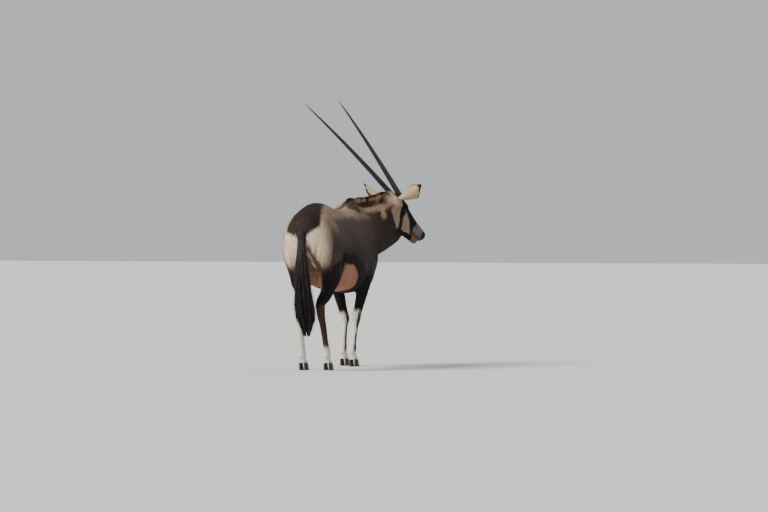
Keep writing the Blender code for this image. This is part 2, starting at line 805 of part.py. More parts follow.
def hoof(name, stance_point, hand, forward_scale, look):
    """One cloven toe: a flat sole, a steep wall and a blunt point, narrower at the coronet."""
    length, width, height = 0.078 * forward_scale, 0.034, HOOF_HEIGHT - GAP
    columns = 14
    shape = bmesh.new()
    rings = []
    for share in (0.0, 0.10, 0.55, 1.0):
        grow = 1.0 - 0.20 * share - (0.04 if share == 0 else 0)
        ring = []
        for k in range(columns):
            angle = math.tau * k / columns
            along = math.cos(angle)
            reach = length / 2 * along * grow
            narrowing = 1 - 0.38 * max(0, along) ** 2
            across = width / 2 * math.sin(angle) * narrowing * grow
            if across * hand < 0:
                across *= 0.80
            lean = -0.014 * share
            spread = 0.0178 + 0.002 * max(0, along)
            place = at(0.006 + reach + lean, hand * spread + across, height * share)
            ring.append(shape.verts.new(stance_point + place))
        rings.append(ring)
    for ring, following in zip(rings, rings[1:]):
        for k in range(columns):
            j = (k + 1) % columns
            shape.faces.new((ring[k], ring[j], following[j], following[k]))
    shape.faces.new(rings[0])
    shape.faces.new(rings[-1])
    obj = from_bmesh(name, shape)
    obj.data.materials.append(look)
    return obj


# Parting the flesh

# For each pair of legs: the reach backward and forward of the part that goes with the leg, the
# height of its top at the middle of the body, and how far that top climbs towards the side
LEG_CUTS = {
    "front": (0.245, 0.545, 0.540, 0.75),
    "hind": (-0.800, -0.225, 0.610, 0.60),
}


def leg_region(name):
    """Gives the maker of the wedge that holds one leg, grown by any gap."""
    _, pair, flank = name.split("_")
    hand = 1 if flank == "left" else -1
    back, front, height, climb = LEG_CUTS[pair]
    inner, outer = 0.010 * hand, 0.500 * hand

    def region(gap):
        shape = bmesh.new()
        bmesh.ops.create_cube(shape, size=2)
        for vertex in shape.verts:
            left = outer if vertex.co.x > 0 else inner - gap * hand
            forward = front + gap if vertex.co.y > 0 else back - gap
            top = height + climb * abs(left) + gap * math.hypot(1, climb)
            vertex.co = at(forward, left, top if vertex.co.z > 0 else HOOF_HEIGHT)
        return from_bmesh("leg_wedge", shape)

    return region


def neck_region(gap):
    """Everything ahead of the slanting plane where the neck leaves the chest."""
    outward = Vector((0.30, 0.80, -0.42)).normalized()
    return half_space("neck_box", at(0.560, -0.030, 0.99) + outward * gap, outward, 2.4)


def head_region(gap):
    """Everything ahead of a plane behind the poll and above one that runs under the jaw."""
    turn = HEAD.to_3x3()
    behind = -(turn @ Vector((0, 0.92, 0.39))).normalized()
    under = -(turn @ Vector((0, -0.20, 0.98))).normalized()
    box = half_space("head_box", on_head(0, -0.050, 0) + behind * gap, behind, 1.2)
    jaw_box = half_space("jaw_box", on_head(0, 0.100, -0.204) + under * gap, under, 1.2)
    boolean(box, jaw_box, "INTERSECT")
    remove(jaw_box)
    return box


def body_masses():
    masses = [trunk(), neck(), skull(), jaw(), *legs()]
    masses += [make(hand) for hand in (1, -1) for make in (shoulder, thigh)]
    return masses


def head_parts():
    masses = [skull(), jaw(), neck()]
    for hand in (1, -1):
        masses += head_masses(hand)
        masses.append(lids(hand))
    return masses


def body_softness(point):
    """How much the fused body is smoothed: fully on the trunk, little on the lower legs."""
    return 0.12 + 0.88 * smoothstep(0.42, 0.72, point.z)


def head_softness(point):
    """How much the fused head is smoothed: least at the lids, lips and nose."""
    nearest = min((point - on_head(EYE_SIDE * h, EYE_ALONG, EYE_OUT)).length for h in (1, -1))
    along = (HEAD.inverted() @ point).y
    return 0.25 + 0.75 * smoothstep(0.03, 0.06, nearest) * smoothstep(0.40, 0.30, along)


def flesh(looks):
    """Fuses the flesh and parts it into torso, neck, head and legs."""
    torso = fused("torso", body_masses(), BODY_VOXEL, body_softness, 60, BODY_TRIANGLES)
    union_of(torso, mane())
    spare = parted(torso, "spare", head_region)
    remove(spare)
    neck_piece = parted(torso, "neck", neck_region)
    made = {"torso": torso, "neck": neck_piece}
    for name in STANCE:
        made[name] = parted(torso, name, leg_region(name))
    head = fused("head", head_parts(), HEAD_VOXEL, head_softness, 10, HEAD_TRIANGLES)
    region = head_region(0.0)
    boolean(head, region, "INTERSECT")
    remove(region)
    for cutter in (nostril(1), nostril(-1), mouth()):
        boolean(head, cutter, "DIFFERENCE")
        remove(cutter)
    made["head"] = keep_largest(head)
    for name, obj in made.items():
        obj.data.materials.append(looks["leg" if name.startswith("leg") else "coat"])
    return made


def hooves(look):
    for name, (forward, left) in STANCE.items():
        for hand, side in ((1, "left"), (-1, "right")):
            scale = 1.0 if "front" in name else 0.95
            toe = name.replace("leg", "hoof") + "_" + side
            hoof(toe, at(forward, left, 0), hand, scale, look)


def main():
    clear_scene()
    looks = {
        "coat": material("fawn_coat", (0.36, 0.29, 0.23), 0.85),
        "hair": material("black_hair", (0.03, 0.025, 0.02), 0.70),
        "leg": material("leg_coat", (0.55, 0.48, 0.40), 0.85),
        "horn": material("horn", (0.05, 0.045, 0.04), 0.45),
        "ear": material("ear_coat", (0.62, 0.53, 0.43), 0.85),
        "eye": material("eye", (0.02, 0.012, 0.01), 0.08),
        "hoof": material("hoof", (0.06, 0.05, 0.045), 0.50),
    }
    made = flesh(looks)
    head = made["head"]
    for hand, side in ((1, "left"), (-1, "right")):
        cleared(head, eye("eye_" + side, hand, looks["eye"]))
        cleared(head, horn("horn_" + side, hand, looks["horn"]))
    for hand, side in ((1, "left"), (-1, "right")):
        direction, opening = EAR_AIMS[side]
        flap = cleared(ear("ear_" + side, hand, direction, opening, looks["ear"]), head)
        cleared(flap, bpy.data.objects["horn_" + side])
    cleared(tail(looks["hair"]), made["torso"])
    hooves(looks["hoof"])
    gather()


def gather():
    """Stands the model with its origin under the middle of its box, in one collection."""
    nodes = list(bpy.context.scene.collection.objects)
    corners = np.array([v.co for obj in nodes for v in obj.data.vertices])
    low, high = corners.min(axis=0), corners.max(axis=0)
    shift = Vector((-(low[0] + high[0]) / 2, -(low[1] + high[1]) / 2, -low[2]))
    model = collection_named("gemsbok")
    for obj in nodes:
        obj.data.transform(Matrix.Translation(shift))
        bpy.context.scene.collection.objects.unlink(obj)
        model.objects.link(obj)


main()
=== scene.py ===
# %% [markdown]
# # Dressing a gemsbok
#
# The solids give the animal's exact form, but they are faceted and bare. This lesson turns them
# into a living-looking animal: one smooth skin with eyelids, nostrils and lips, a short coat that
# lies along the body, long hair on the mane and tail, ringed horns, wet eyes and worn hooves.
# We start by loading the solids. Everything is in metres, +Z is up and the animal faces -Y.

# %% Load the solids
import math
from contextlib import contextmanager

import bmesh
import bpy
import numpy as np
from mathutils import Matrix, Vector
from mathutils.bvhtree import BVHTree


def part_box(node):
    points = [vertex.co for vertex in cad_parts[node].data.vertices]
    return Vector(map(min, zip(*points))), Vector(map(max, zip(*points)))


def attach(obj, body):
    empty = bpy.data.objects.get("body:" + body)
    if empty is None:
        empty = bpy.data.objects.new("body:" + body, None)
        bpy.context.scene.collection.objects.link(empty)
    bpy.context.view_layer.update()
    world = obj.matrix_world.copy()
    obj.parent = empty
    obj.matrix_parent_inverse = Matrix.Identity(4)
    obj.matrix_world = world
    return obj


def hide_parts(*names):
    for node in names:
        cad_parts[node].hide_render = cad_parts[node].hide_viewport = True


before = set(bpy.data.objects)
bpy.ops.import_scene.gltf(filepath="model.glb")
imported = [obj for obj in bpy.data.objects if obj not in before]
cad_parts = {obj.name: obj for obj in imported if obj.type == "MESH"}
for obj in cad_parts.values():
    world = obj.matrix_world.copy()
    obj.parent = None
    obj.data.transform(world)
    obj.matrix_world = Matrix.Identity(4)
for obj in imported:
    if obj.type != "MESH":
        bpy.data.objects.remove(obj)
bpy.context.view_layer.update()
LEGS = [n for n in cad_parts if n.startswith("leg_")]
FLESH = ["torso", "neck", "head", *LEGS]
HANDS = {"left": 1, "right": -1}
print("solids:", len(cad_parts), "nodes")

# %% [markdown]
# ## Where things are
#
# Every later piece is placed from the body, so we need two frames of reference. The body frame
# counts forward, left and up from the middle of the animal's stance. The head is turned, so it
# has a frame of its own: X to its left, Y along the face towards the nose, Z out of the forehead.
# The two eyeballs of the solids tell us where that head frame is, which is safer than typing its
# place in again.

# %% Body and head frames
HEAD_TURN = math.radians(37.5)
HEAD_PITCH = math.radians(46.5)
HEAD_LEAN = math.radians(4)
POLL = (0.790, -0.181, 1.286)
EYE = EYE_SIDE, EYE_ALONG, EYE_OUT = 0.0555, 0.138, -0.053
HORN_SIDE, HORN_ALONG = 0.037, 0.075
UP = Vector((0, 0, 1))


def head_axes():
    heading = Vector((-math.sin(HEAD_TURN), -math.cos(HEAD_TURN), 0))
    nose = heading * math.cos(HEAD_PITCH) - UP * math.sin(HEAD_PITCH)
    side = UP.cross(heading).normalized()
    lean = Matrix.Rotation(-HEAD_LEAN, 3, nose)
    return lean @ side, nose, lean @ nose.cross(side)


def centre_of(node):
    low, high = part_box(node)
    return (low + high) / 2


side_axis, nose_axis, brow_axis = head_axes()
between_eyes = (centre_of("eye_left") + centre_of("eye_right")) / 2
poll_place = between_eyes - nose_axis * EYE_ALONG - brow_axis * EYE_OUT
HEAD = Matrix((side_axis, nose_axis, brow_axis)).transposed().to_4x4()
HEAD.translation = poll_place
STANCE_ORIGIN = poll_place - Vector((POLL[1], -POLL[0], POLL[2]))
HEAD_ROTATION = np.array(HEAD.to_3x3())
HEAD_PLACE = np.array(HEAD.translation)
print("poll at", [round(v, 3) for v in poll_place])
print("stance origin", [round(v, 4) for v in STANCE_ORIGIN])


def at(forward, left, up):
    """World places, given forward and left of mid-stance and above the floor."""
    return np.stack([STANCE_ORIGIN.x + left, STANCE_ORIGIN.y - forward, up], axis=-1)


def in_world(matrix, local):
    return local @ np.array(matrix.to_3x3()).T + np.array(matrix.translation)


def body_numbers(points):
    """Forward, left and up of many world points."""
    return STANCE_ORIGIN.y - points[:, 1], points[:, 0] - STANCE_ORIGIN.x, points[:, 2]


def head_numbers(points):
    """The head coordinates of many world points."""
    return (points - HEAD_PLACE) @ HEAD_ROTATION


def ease(low, high, value):
    """0 below low, 1 above high, with a smooth rise between them."""
    t = np.clip((value - low) / (high - low), 0, 1)
    return t * t * (3 - 2 * t)


def unit(rows):
    """Each row of a table of directions, made one long."""
    return rows / np.linalg.norm(rows, axis=1)[:, None]


# %% [markdown]
# ## One skin
#
# The torso, neck, head and legs are separate solids, but a real animal has one hide. We copy
# them, weld the loose triangles of each copy, and let a voxel remesh melt them into one surface.
# The body needs only coarse cells, but the face needs fine ones, so we make two remeshes, cut
# both by one plane across the neck, and bridge the two rims. Smoothing then melts the facets.

# %% Small helpers
def only(obj):
    """Selects one object and nothing else, and makes it active."""
    bpy.ops.object.select_all(action="DESELECT")
    obj.select_set(True)
    bpy.context.view_layer.objects.active = obj


@contextmanager
def editing(obj, kind=None):
    """Edit mode on one object, with nothing selected, for as long as the block lasts."""
    only(obj)
    bpy.ops.object.mode_set(mode="EDIT")
    if kind:
        bpy.ops.mesh.select_mode(type=kind)
    bpy.ops.mesh.select_all(action="DESELECT")
    yield
    bpy.ops.object.mode_set(mode="OBJECT")


def new_shape(kind, **settings):
    """A primitive whose place is in its mesh, so that the object itself sits at the origin."""
    bpy.ops.object.select_all(action="DESELECT")
    getattr(bpy.ops.mesh, "primitive_" + kind + "_add")(**settings)
    bpy.ops.object.transform_apply(location=True, rotation=True, scale=True)
    return bpy.context.object


def placed(name, data):
    """A new object that holds the data, linked to the scene."""
    obj = bpy.data.objects.new(name, data)
    bpy.context.scene.collection.objects.link(obj)
    return obj


def apply_modifier(obj, kind, **settings):
    modifier = obj.modifiers.new(kind.title(), kind)
    for key, value in settings.items():
        setattr(modifier, key, value)
    only(obj)
    bpy.ops.object.modifier_apply(modifier=modifier.name)


def welded_copy(name, nodes):
    """One object that holds welded copies of some nodes of the solids."""
    shape = bmesh.new()
    for node in nodes:
        shape.from_mesh(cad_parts[node].data)
    bmesh.ops.remove_doubles(shape, verts=shape.verts, dist=0.00002)
    mesh = bpy.data.meshes.new(name)
    shape.to_mesh(mesh)
    shape.free()
    return placed(name, mesh)


def numbers(items, name, width=3, kind=np.float32):
    """One property of every item of a mesh list, as rows of numbers."""
    values = np.empty(len(items) * width, kind)
    items.foreach_get(name, values)
    return values.reshape(-1, width) if width > 1 else values


def points_of(obj):
    return numbers(obj.data.vertices, "co").astype(float)


def normals_of(obj):
    return numbers(obj.data.vertices, "normal").astype(float)


def tree_of(obj):
    """A search tree of an object's faces, for nearest places and rays."""
    mesh = obj.data
    return BVHTree.FromPolygons([v.co for v in mesh.vertices], [p.vertices for p in mesh.polygons])


def move_points(obj, points):
    obj.data.vertices.foreach_set("co", points.astype(np.float32).ravel())
    obj.data.update()


def smoothed(obj, rounds, weights):
    """Relaxes the surface, more where weights are high. Every second round pushes back out by
    a little more than the first drew in, so facets melt and thin legs keep their thickness."""
    edges = numbers(obj.data.edges, "vertices", 2, np.int32)
    first, second = edges.T
    points = points_of(obj)
    count = np.bincount(edges.ravel(), minlength=len(points))[:, None]
    for k in range(2 * rounds):
        total = np.zeros_like(points)
        for axis in range(3):
            total[:, axis] = np.bincount(first, points[second, axis], len(points))
            total[:, axis] += np.bincount(second, points[first, axis], len(points))
        points += (total / count - points) * (weights * (-0.63 if k % 2 else 0.60))[:, None]
    move_points(obj, points)


def faced_outward(obj):
    """Turns all faces of a closed mesh outward. A mirrored frame or a bridge can leave them in."""
    with editing(obj):
        bpy.ops.mesh.select_all(action="SELECT")
        bpy.ops.mesh.normals_make_consistent(inside=False)


def work_on_faces(obj, chosen, tool, **settings):
    """Uses an edit tool on the faces whose centres are chosen, and on no others."""
    with editing(obj, "FACE"):
        pass
    picked = chosen(numbers(obj.data.polygons, "center").astype(float))
    obj.data.polygons.foreach_set("select", picked)
    bpy.ops.object.mode_set(mode="EDIT")
    tool(**settings)
    bpy.ops.object.mode_set(mode="OBJECT")


# %% The line of the mane
# forward, left, height of the roots, share of the full hair length there
MANE_LINE = np.array(
    [
        (0.290, 0.000, 1.184, 0.30),
        (0.350, 0.000, 1.196, 0.50),
        (0.420, 0.000, 1.197, 0.75),
        (0.500, -0.020, 1.190, 0.95),
        (0.580, -0.070, 1.195, 1.00),
        (0.660, -0.125, 1.220, 1.00),
        (0.735, -0.165, 1.258, 0.85),
    ]
)


def along_line(rows, shares):
    """Rows read off a polyline at shares of its length, from 0 to 1."""
    steps = np.linalg.norm(np.diff(rows[:, :3], axis=0), axis=1)
    reached = np.concatenate([[0], np.cumsum(steps)]) / steps.sum()
    return np.stack([np.interp(shares, reached, rows[:, k]) for k in range(rows.shape[1])], axis=1)


def mane_distance(points):
    """How far points are from the crest line, seen from above."""
    forward, left, _ = body_numbers(points)
    line = along_line(MANE_LINE, np.linspace(0, 1, 40))
    gaps = np.hypot(forward[:, None] - line[None, :, 0], left[:, None] - line[None, :, 1])
    return gaps.min(axis=1)


# %% Remesh the body and the head
BODY_CELL, HEAD_CELL = 0.0092, 0.0045
CHEST_TOP = 0.80
NECK_CUT = HEAD @ Vector((0, -0.045, 0))
NECK_CUT_FACING = (HEAD.to_3x3() @ Vector((0, 0.80, 0.42))).normalized()


def remeshed(name, nodes, cell):
    obj = welded_copy(name, nodes)
    apply_modifier(obj, "REMESH", mode="VOXEL", voxel_size=cell)
    return obj


def cut_away(obj, place, facing):
    """Deletes what lies on the facing side of a plane, and leaves the rim open. The plane is
    endless, so only faces above the chest are chosen, or it would cut the forelegs as well."""
    work_on_faces(obj, lambda centres: centres[:, 2] > CHEST_TOP, bpy.ops.mesh.bisect,
                  plane_co=place, plane_no=facing, clear_outer=True)


def largest_part(obj):
    """Keeps the connected part of a mesh that has the most corners."""
    shape = bmesh.new()
    shape.from_mesh(obj.data)
    unseen, parts = set(shape.verts), []
    while unseen:
        part, edge = set(), [unseen.pop()]
        while edge:
            corner = edge.pop()
            part.add(corner)
            fresh = [e.other_vert(corner) for e in corner.link_edges]
            fresh = [v for v in fresh if v in unseen]
            unseen.difference_update(fresh)
            edge.extend(fresh)
        parts.append(part)
    keep = max(parts, key=len)
    bmesh.ops.delete(shape, geom=[v for v in shape.verts if v not in keep], context="VERTS")
    shape.to_mesh(obj.data)
    shape.free()


skin = remeshed("skin", FLESH, BODY_CELL)
largest_part(skin)
height = points_of(skin)[:, 2]
smoothed(skin, 40, (0.60 + 0.40 * ease(0.40, 0.70, height)) * ease(0.060, 0.090, height))
smoothed(skin, 60, 1 - ease(0.035, 0.060, mane_distance(points_of(skin))))


def held_to_solids(obj, nodes, weights):
    """Draws corners back to the nearest place on the solids, as relaxing wears thin parts away."""
    solid = welded_copy("guide", nodes)
    tree, points = tree_of(solid), points_of(obj)
    for k in np.flatnonzero(weights > 0.01):
        near = tree.find_nearest(points[k])[0]
        points[k] += (np.array(near) - points[k]) * weights[k]
    move_points(obj, points)
    bpy.data.objects.remove(solid)


lower_legs = ease(0.62, 0.50, points_of(skin)[:, 2])
held_to_solids(skin, LEGS, lower_legs)
smoothed(skin, 3, lower_legs * 0.8)
print("body cells:", len(skin.data.polygons))

face = remeshed("face", ["head", "neck"], HEAD_CELL)
largest_part(face)
local = head_numbers(points_of(face))
smoothed(face, 16, 0.35 + 0.65 * ease(0.40, 0.33, local[:, 1]))
print("face cells:", len(face.data.polygons))

# %% Join them across the neck
RIM_GAP = 0.006
cut_away(skin, NECK_CUT + NECK_CUT_FACING * RIM_GAP * -0.5, NECK_CUT_FACING)
cut_away(face, NECK_CUT + NECK_CUT_FACING * RIM_GAP * 0.5, -NECK_CUT_FACING)
largest_part(skin)
largest_part(face)
only(skin)
face.select_set(True)
bpy.ops.object.join()
with editing(skin, "EDGE"):
    bpy.ops.mesh.select_non_manifold(
        extend=False, use_wire=False, use_multi_face=False, use_non_contiguous=False,
        use_verts=False,
    )
    bpy.ops.mesh.bridge_edge_loops()
faced_outward(skin)
uses = np.bincount(numbers(skin.data.loops, "edge_index", 1, np.int32))
print("skin open edges:", (uses == 1).sum(), "cells:", len(skin.data.polygons))

# %% [markdown]
# ## Lids, nostrils and lips
#
# The remesh leaves a plain head. Around each eye and on the muzzle we cut the cells finer, then
# move the corners by simple rules in head coordinates. Inside an almond the skin sinks behind the
# eyeball, around it the skin is lifted into rolled lids, the nostrils are pressed in as slanting
# commas, and a fine groove parts the lips. A rule moves hundreds of corners alike on both sides.

# %% Finer cells where the detail is
EYE_RADIUS = 0.019
NOSTRIL = np.array((0.0300, 0.4130, -0.0400))
MOUTH_LINE = [(0.318, -0.1040), (0.350, -0.1010), (0.385, -0.0985), (0.430, -0.0900)]


def refine(obj, chosen):
    """Splits the faces whose centres are chosen by their head coordinates, once."""
    work_on_faces(obj, lambda centres: chosen(head_numbers(centres)), bpy.ops.mesh.subdivide,
                  smoothness=0.6)


def mirrored(local):
    """Head coordinates laid over to the left side, so that one rule serves both sides."""
    return np.column_stack([np.abs(local[:, 0]), local[:, 1:]])


def eye_gap(local):
    """How far head coordinates are from the nearer eye's centre."""
    return np.linalg.norm(mirrored(local) - EYE, axis=1)


def nostril_gap(local):
    return np.linalg.norm(mirrored(local) - NOSTRIL, axis=1)


refine(skin, lambda local: (eye_gap(local) < 0.045) | (local[:, 1] > 0.355))
refine(skin, lambda local: eye_gap(local) < 0.033)
local = head_numbers(points_of(skin))
near_detail = 1 - ease(0.030, 0.060, eye_gap(local)) * (1 - ease(0.33, 0.36, local[:, 1]))
in_front = ease(-0.05, 0.0, local[:, 1]) * (local[:, 2] > -0.30)
smoothed(skin, 6, near_detail * in_front * 0.8)
print("cells with the finer face:", len(skin.data.polygons))


# %% Shape the eyes, nose and mouth
LID_DEPTH, UPPER_LID, LOWER_LID, LID_CREASE = 0.0035, 0.0042, 0.0026, 0.0022
NOSTRIL_DEPTH, NOSTRIL_WING, LIP_DEPTH = 0.011, 0.0022, 0.0042


def bell(value, middle, breadth):
    """1 at the middle, falling smoothly to nothing on both sides."""
    return np.exp(-(((value - middle) / breadth) ** 2))


def lip_height(along):
    """Where the line between the lips runs, in head coordinates."""
    return np.interp(along, *np.array(MOUTH_LINE).T)


def sculpt_eyes(local):
    """Sinks an almond behind each eyeball and rolls the lids round it."""
    hand = np.where(local[:, 0] < 0, -1.0, 1.0)
    offset = mirrored(local) - EYE
    reach = np.linalg.norm(offset, axis=1)
    along, over = offset[:, 1] - 0.001, offset[:, 2] + 0.10 * offset[:, 1] - 0.001
    almond = np.hypot(along / 0.0185, over / np.where(over > 0, 0.0125, 0.0105))
    near, upper = (offset[:, 0] > -0.004) & (reach < 0.05), over > 0
    direction = offset / reach[:, None]
    inside = (almond < 1.0) & near
    offset[inside] = direction[inside] * (EYE_RADIUS - LID_DEPTH)
    rim = bell(almond, 1.16, 0.20) * (almond >= 1.0) * near
    wanted = EYE_RADIUS + np.where(upper, UPPER_LID, LOWER_LID)
    offset += direction * ((wanted - reach) * rim)[:, None]
    crease = bell(almond, 1.85, 0.16) * upper * near
    offset -= direction * (crease * LID_CREASE)[:, None]
    offset += EYE
    offset[:, 0] *= hand
    return offset


def sculpt_muzzle(local):
    """Presses in the nostrils and parts the lips."""
    hand = np.where(local[:, 0] < 0, -1.0, 1.0)
    side, along, out = (mirrored(local) - (0, *NOSTRIL[1:])).T
    length, height = along * 0.80 - out * 0.60, along * 0.60 + out * 0.80
    slit = np.hypot(length / 0.0150, (height - 9.0 * length**2) / 0.0062)
    front = (local[:, 1] > 0.38) & (side > 0.008)
    depth = NOSTRIL_DEPTH * (1 - ease(0.55, 1.05, slit)) * front
    wing = NOSTRIL_WING * bell(slit, 1.5, 0.45) * front
    inward = np.column_stack([-0.75 * hand, np.full_like(hand, -0.62), np.full_like(hand, -0.20)])
    local = local + inward * (depth - wing)[:, None]
    along, lips = local[:, 1], lip_height(local[:, 1])
    near = bell(local[:, 2], lips, 0.0022)
    groove = near * ease(0.310, 0.335, along) * (along < 0.45) * LIP_DEPTH
    middle = np.column_stack([np.zeros_like(side), np.minimum(along, 0.385), lips])
    inward = middle - local
    inward /= np.linalg.norm(inward, axis=1)[:, None] + 1e-9
    return local + inward * groove[:, None]


local = head_numbers(points_of(skin))
region = (local[:, 1] > 0.05) & (np.abs(local[:, 0]) < 0.15) & (local[:, 2] > -0.25)
region &= points_of(skin)[:, 2] > CHEST_TOP
shaped = local.copy()
shaped[region] = sculpt_muzzle(sculpt_eyes(local[region]))
move_points(skin, in_world(HEAD, shaped))

# %% [markdown]
# ## Muscle and bone
#
# Under a short coat the body shows its build: the point of the hip, the hollow of the flank, the
# shoulder blade, the elbow, a hint of ribs. Sculpting would be done with a soft brush. Here each
# row of a table is one stroke of such a brush: a place on both sides, how far it reaches and how
# high it lifts the skin, in metres.

# %% Strokes over the body
# forward, side, up, reach forward, reach sideways, reach up, lift
STROKES = [
    (-0.285, 0.150, 1.105, 0.045, 0.050, 0.035, 0.010),
    (-0.170, 0.205, 0.985, 0.075, 0.080, 0.090, -0.015),
    (-0.470, 0.120, 1.060, 0.050, 0.050, 0.060, -0.005),
    (-0.250, 0.190, 0.800, 0.028, 0.080, 0.090, -0.011),
    (-0.350, 0.200, 0.820, 0.070, 0.080, 0.110, 0.006),
    (-0.560, 0.090, 0.960, 0.040, 0.045, 0.050, 0.006),
    (-0.560, 0.040, 0.800, 0.060, 0.022, 0.120, -0.010),
    (-0.600, 0.110, 0.620, 0.050, 0.050, 0.060, -0.006),
    (0.360, 0.120, 1.060, 0.035, 0.070, 0.090, 0.009),
    (0.300, 0.170, 0.960, 0.028, 0.080, 0.110, -0.008),
    (0.230, 0.200, 0.800, 0.035, 0.080, 0.130, -0.012),
    (0.345, 0.190, 0.800, 0.060, 0.080, 0.080, 0.009),
    (0.290, 0.160, 0.665, 0.030, 0.050, 0.035, 0.011),
    (0.475, 0.140, 0.790, 0.045, 0.060, 0.060, 0.010),
    (0.420, 0.165, 0.900, 0.024, 0.060, 0.090, -0.006),
    (0.430, 0.110, 1.130, 0.045, 0.050, 0.035, -0.006),
    (0.560, 0.000, 0.800, 0.050, 0.020, 0.080, -0.008),
]
RIB_SPACING, RIB_HEIGHT = 0.052, 0.0008


def sculpt_body(obj):
    points, normals = points_of(obj), normals_of(obj)
    forward, left, up = body_numbers(points)
    side = np.abs(left)
    places, lift = np.column_stack([forward, side, up]), np.zeros(len(points))
    for row in np.array(STROKES):
        gap = ((places - row[:3]) / row[3:6]) ** 2
        lift += row[6] * np.exp(-gap.sum(axis=1))
    ribs = np.cos((forward + 0.25 * (1.0 - up)) * math.tau / RIB_SPACING)
    barrel = ease(-0.16, -0.08, forward) * ease(0.24, 0.16, forward)
    barrel *= ease(0.62, 0.72, up) * ease(1.06, 0.96, up)
    lift += RIB_HEIGHT * ribs * barrel * (side > 0.10)
    neck = ease(0.50, 0.60, forward) * ease(0.86, 0.92, up)
    neck *= ease(0.02, -0.06, head_numbers(points)[:, 1])
    lift -= 0.007 * neck * bell(crest_distance(points), 0.150, 0.040)
    move_points(obj, points + normals * lift[:, None])


def crest_distance(points):
    """How far points are from the crest line of the neck, in space."""
    forward, left, up = body_numbers(points)
    gap = np.full(len(points), 9.0)
    for row in along_line(MANE_LINE, np.linspace(0, 1, 24)):
        gap = np.minimum(gap, (forward - row[0]) ** 2 + (left - row[1]) ** 2 + (up - row[2]) ** 2)
    return np.sqrt(gap)


sculpt_body(skin)
print("strokes:", len(STROKES), "on each side")

# %% Sink the skin by the depth of the coat
COAT_DEPTH, SKIN_LOW = 0.0025, 0.045
face_share = ease(0.0, 0.08, local[:, 1]) * region
depth = COAT_DEPTH * (1 - face_share) * (0.3 + 0.7 * ease(0.45, 0.75, points_of(skin)[:, 2]))
points = points_of(skin) - normals_of(skin) * depth[:, None]
points[:, 2] = np.maximum(points[:, 2], SKIN_LOW)
move_points(skin, points)
skin.data.shade_smooth()

# %% [markdown]
# ## The markings
#
# A gemsbok's coat is a map: a fawn body, a dark saddle over the rump, pale buttocks, a black band
# along the flank above a pale belly, black thighs and forearms, white stockings and the black
# and white mask. We write the map once, as a function from places to colours, and use it for the
# skin and for every tuft, so that they always agree. Each marking is a mask with soft edges that
# is laid over what was painted before it.


# %% Tones
def tone(red, green, blue):
    """A colour as a painter's 0 to 255 values, turned into the linear values Blender mixes."""
    return ((np.array((red, green, blue)) / 255 + 0.055) / 1.055) ** 2.4


# One tan for a tan band ahead of the rump patch and for painted light along the top of the back.
# Painted shade: a deeper fawn for the lower body, the neck and the head, which lie in shade.
# Painted shade: the body's base fawn is darker than the real grey-fawn coat, as on a flank in
# shade.
SHADED_FAWN, FAWN_IN_DEEP_SHADE, LOIN_TAN_AND_LIT_BACK = tone(82, 67, 59), tone(48, 39, 37), tone(150, 126, 103)
# Painted shade and warm reflected light: the white belly is painted a shaded reddish tan.
CREAM, WHITE, BELLY_SHADE_AND_GROUND_GLOW = tone(226, 200, 170), tone(236, 226, 210), tone(168, 118, 94)
# Painted shade: the brown of the right hind leg's stocking, also used for a band above each hoof.
DARK_BROWN, BLACK, LEG_BROWN_AND_CANNON_SHADE = tone(38, 25, 19), tone(13, 10, 9), tone(70, 48, 40)
# Painted light: a pale tan for the lit top of the neck, also used for a pale stripe down the neck
# and pale mane hairs.
# Painted shade and warm reflected light: the white chin and lips, painted a reddish brown.
TAN_AND_LIT_NECK, CHIN_SHADE_AND_GROUND_GLOW, NOSE_GREY = tone(168, 136, 110), tone(130, 84, 64), tone(46, 38, 41)
# Painted shade: a dark brown for the place between the hind thighs.
# Painted shade: the white of the cheek, painted greyish brown.
EAR_TAN, SHADED_CHEEK_WHITE, SHADE_BETWEEN_THIGHS = tone(214, 182, 142), tone(158, 134, 116), tone(84, 56, 44)


def lay(colour, new, mask):
    colour += (new - colour) * np.clip(mask, 0, 1)[:, None]


def wobble(points, size, seed):
    """A gentle random-looking wave, so that no marking has a ruler-straight edge."""
    draw = np.random.default_rng(seed)
    total = np.zeros(len(points))
    for _ in range(5):
        heading = draw.normal(size=3)
        heading *= math.tau / (size * np.linalg.norm(heading))
        total += np.sin(points @ heading + draw.uniform(0, math.tau))
    return total / 5


# %% Paint the body
def leg_axes():
    """Heights, and forward and left of each leg's middle line there, read from the solids."""
    axes = {}
    for name in LEGS:
        points, rows = points_of(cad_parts[name]), []
        for height in np.arange(0.06, 0.60, 0.03):
            forward, left, _ = body_numbers(points[np.abs(points[:, 2] - height) < 0.03])
            rows.append((height, forward.mean(), left.mean()))
        axes[name] = np.array(rows).T
    return axes


LEG_AXES = leg_axes()
# forward, height of the black band's middle
FLANK_BAND = [
    (-0.45, 0.70), (-0.33, 0.765), (-0.215, 0.800), (-0.10, 0.795),
    (0.0, 0.755), (0.08, 0.69), (0.15, 0.63), (0.25, 0.58),
]
STOCKING_TOPS = {
    "leg_front_left": 0.372, "leg_front_right": 0.392,
    "leg_hind_left": 0.415, "leg_hind_right": 0.455,
}


def leg_middle(name, up):
    """Forward and left of a leg's middle line at heights."""
    heights, forward, left = LEG_AXES[name]
    return np.interp(up, heights, forward), np.interp(up, heights, left)


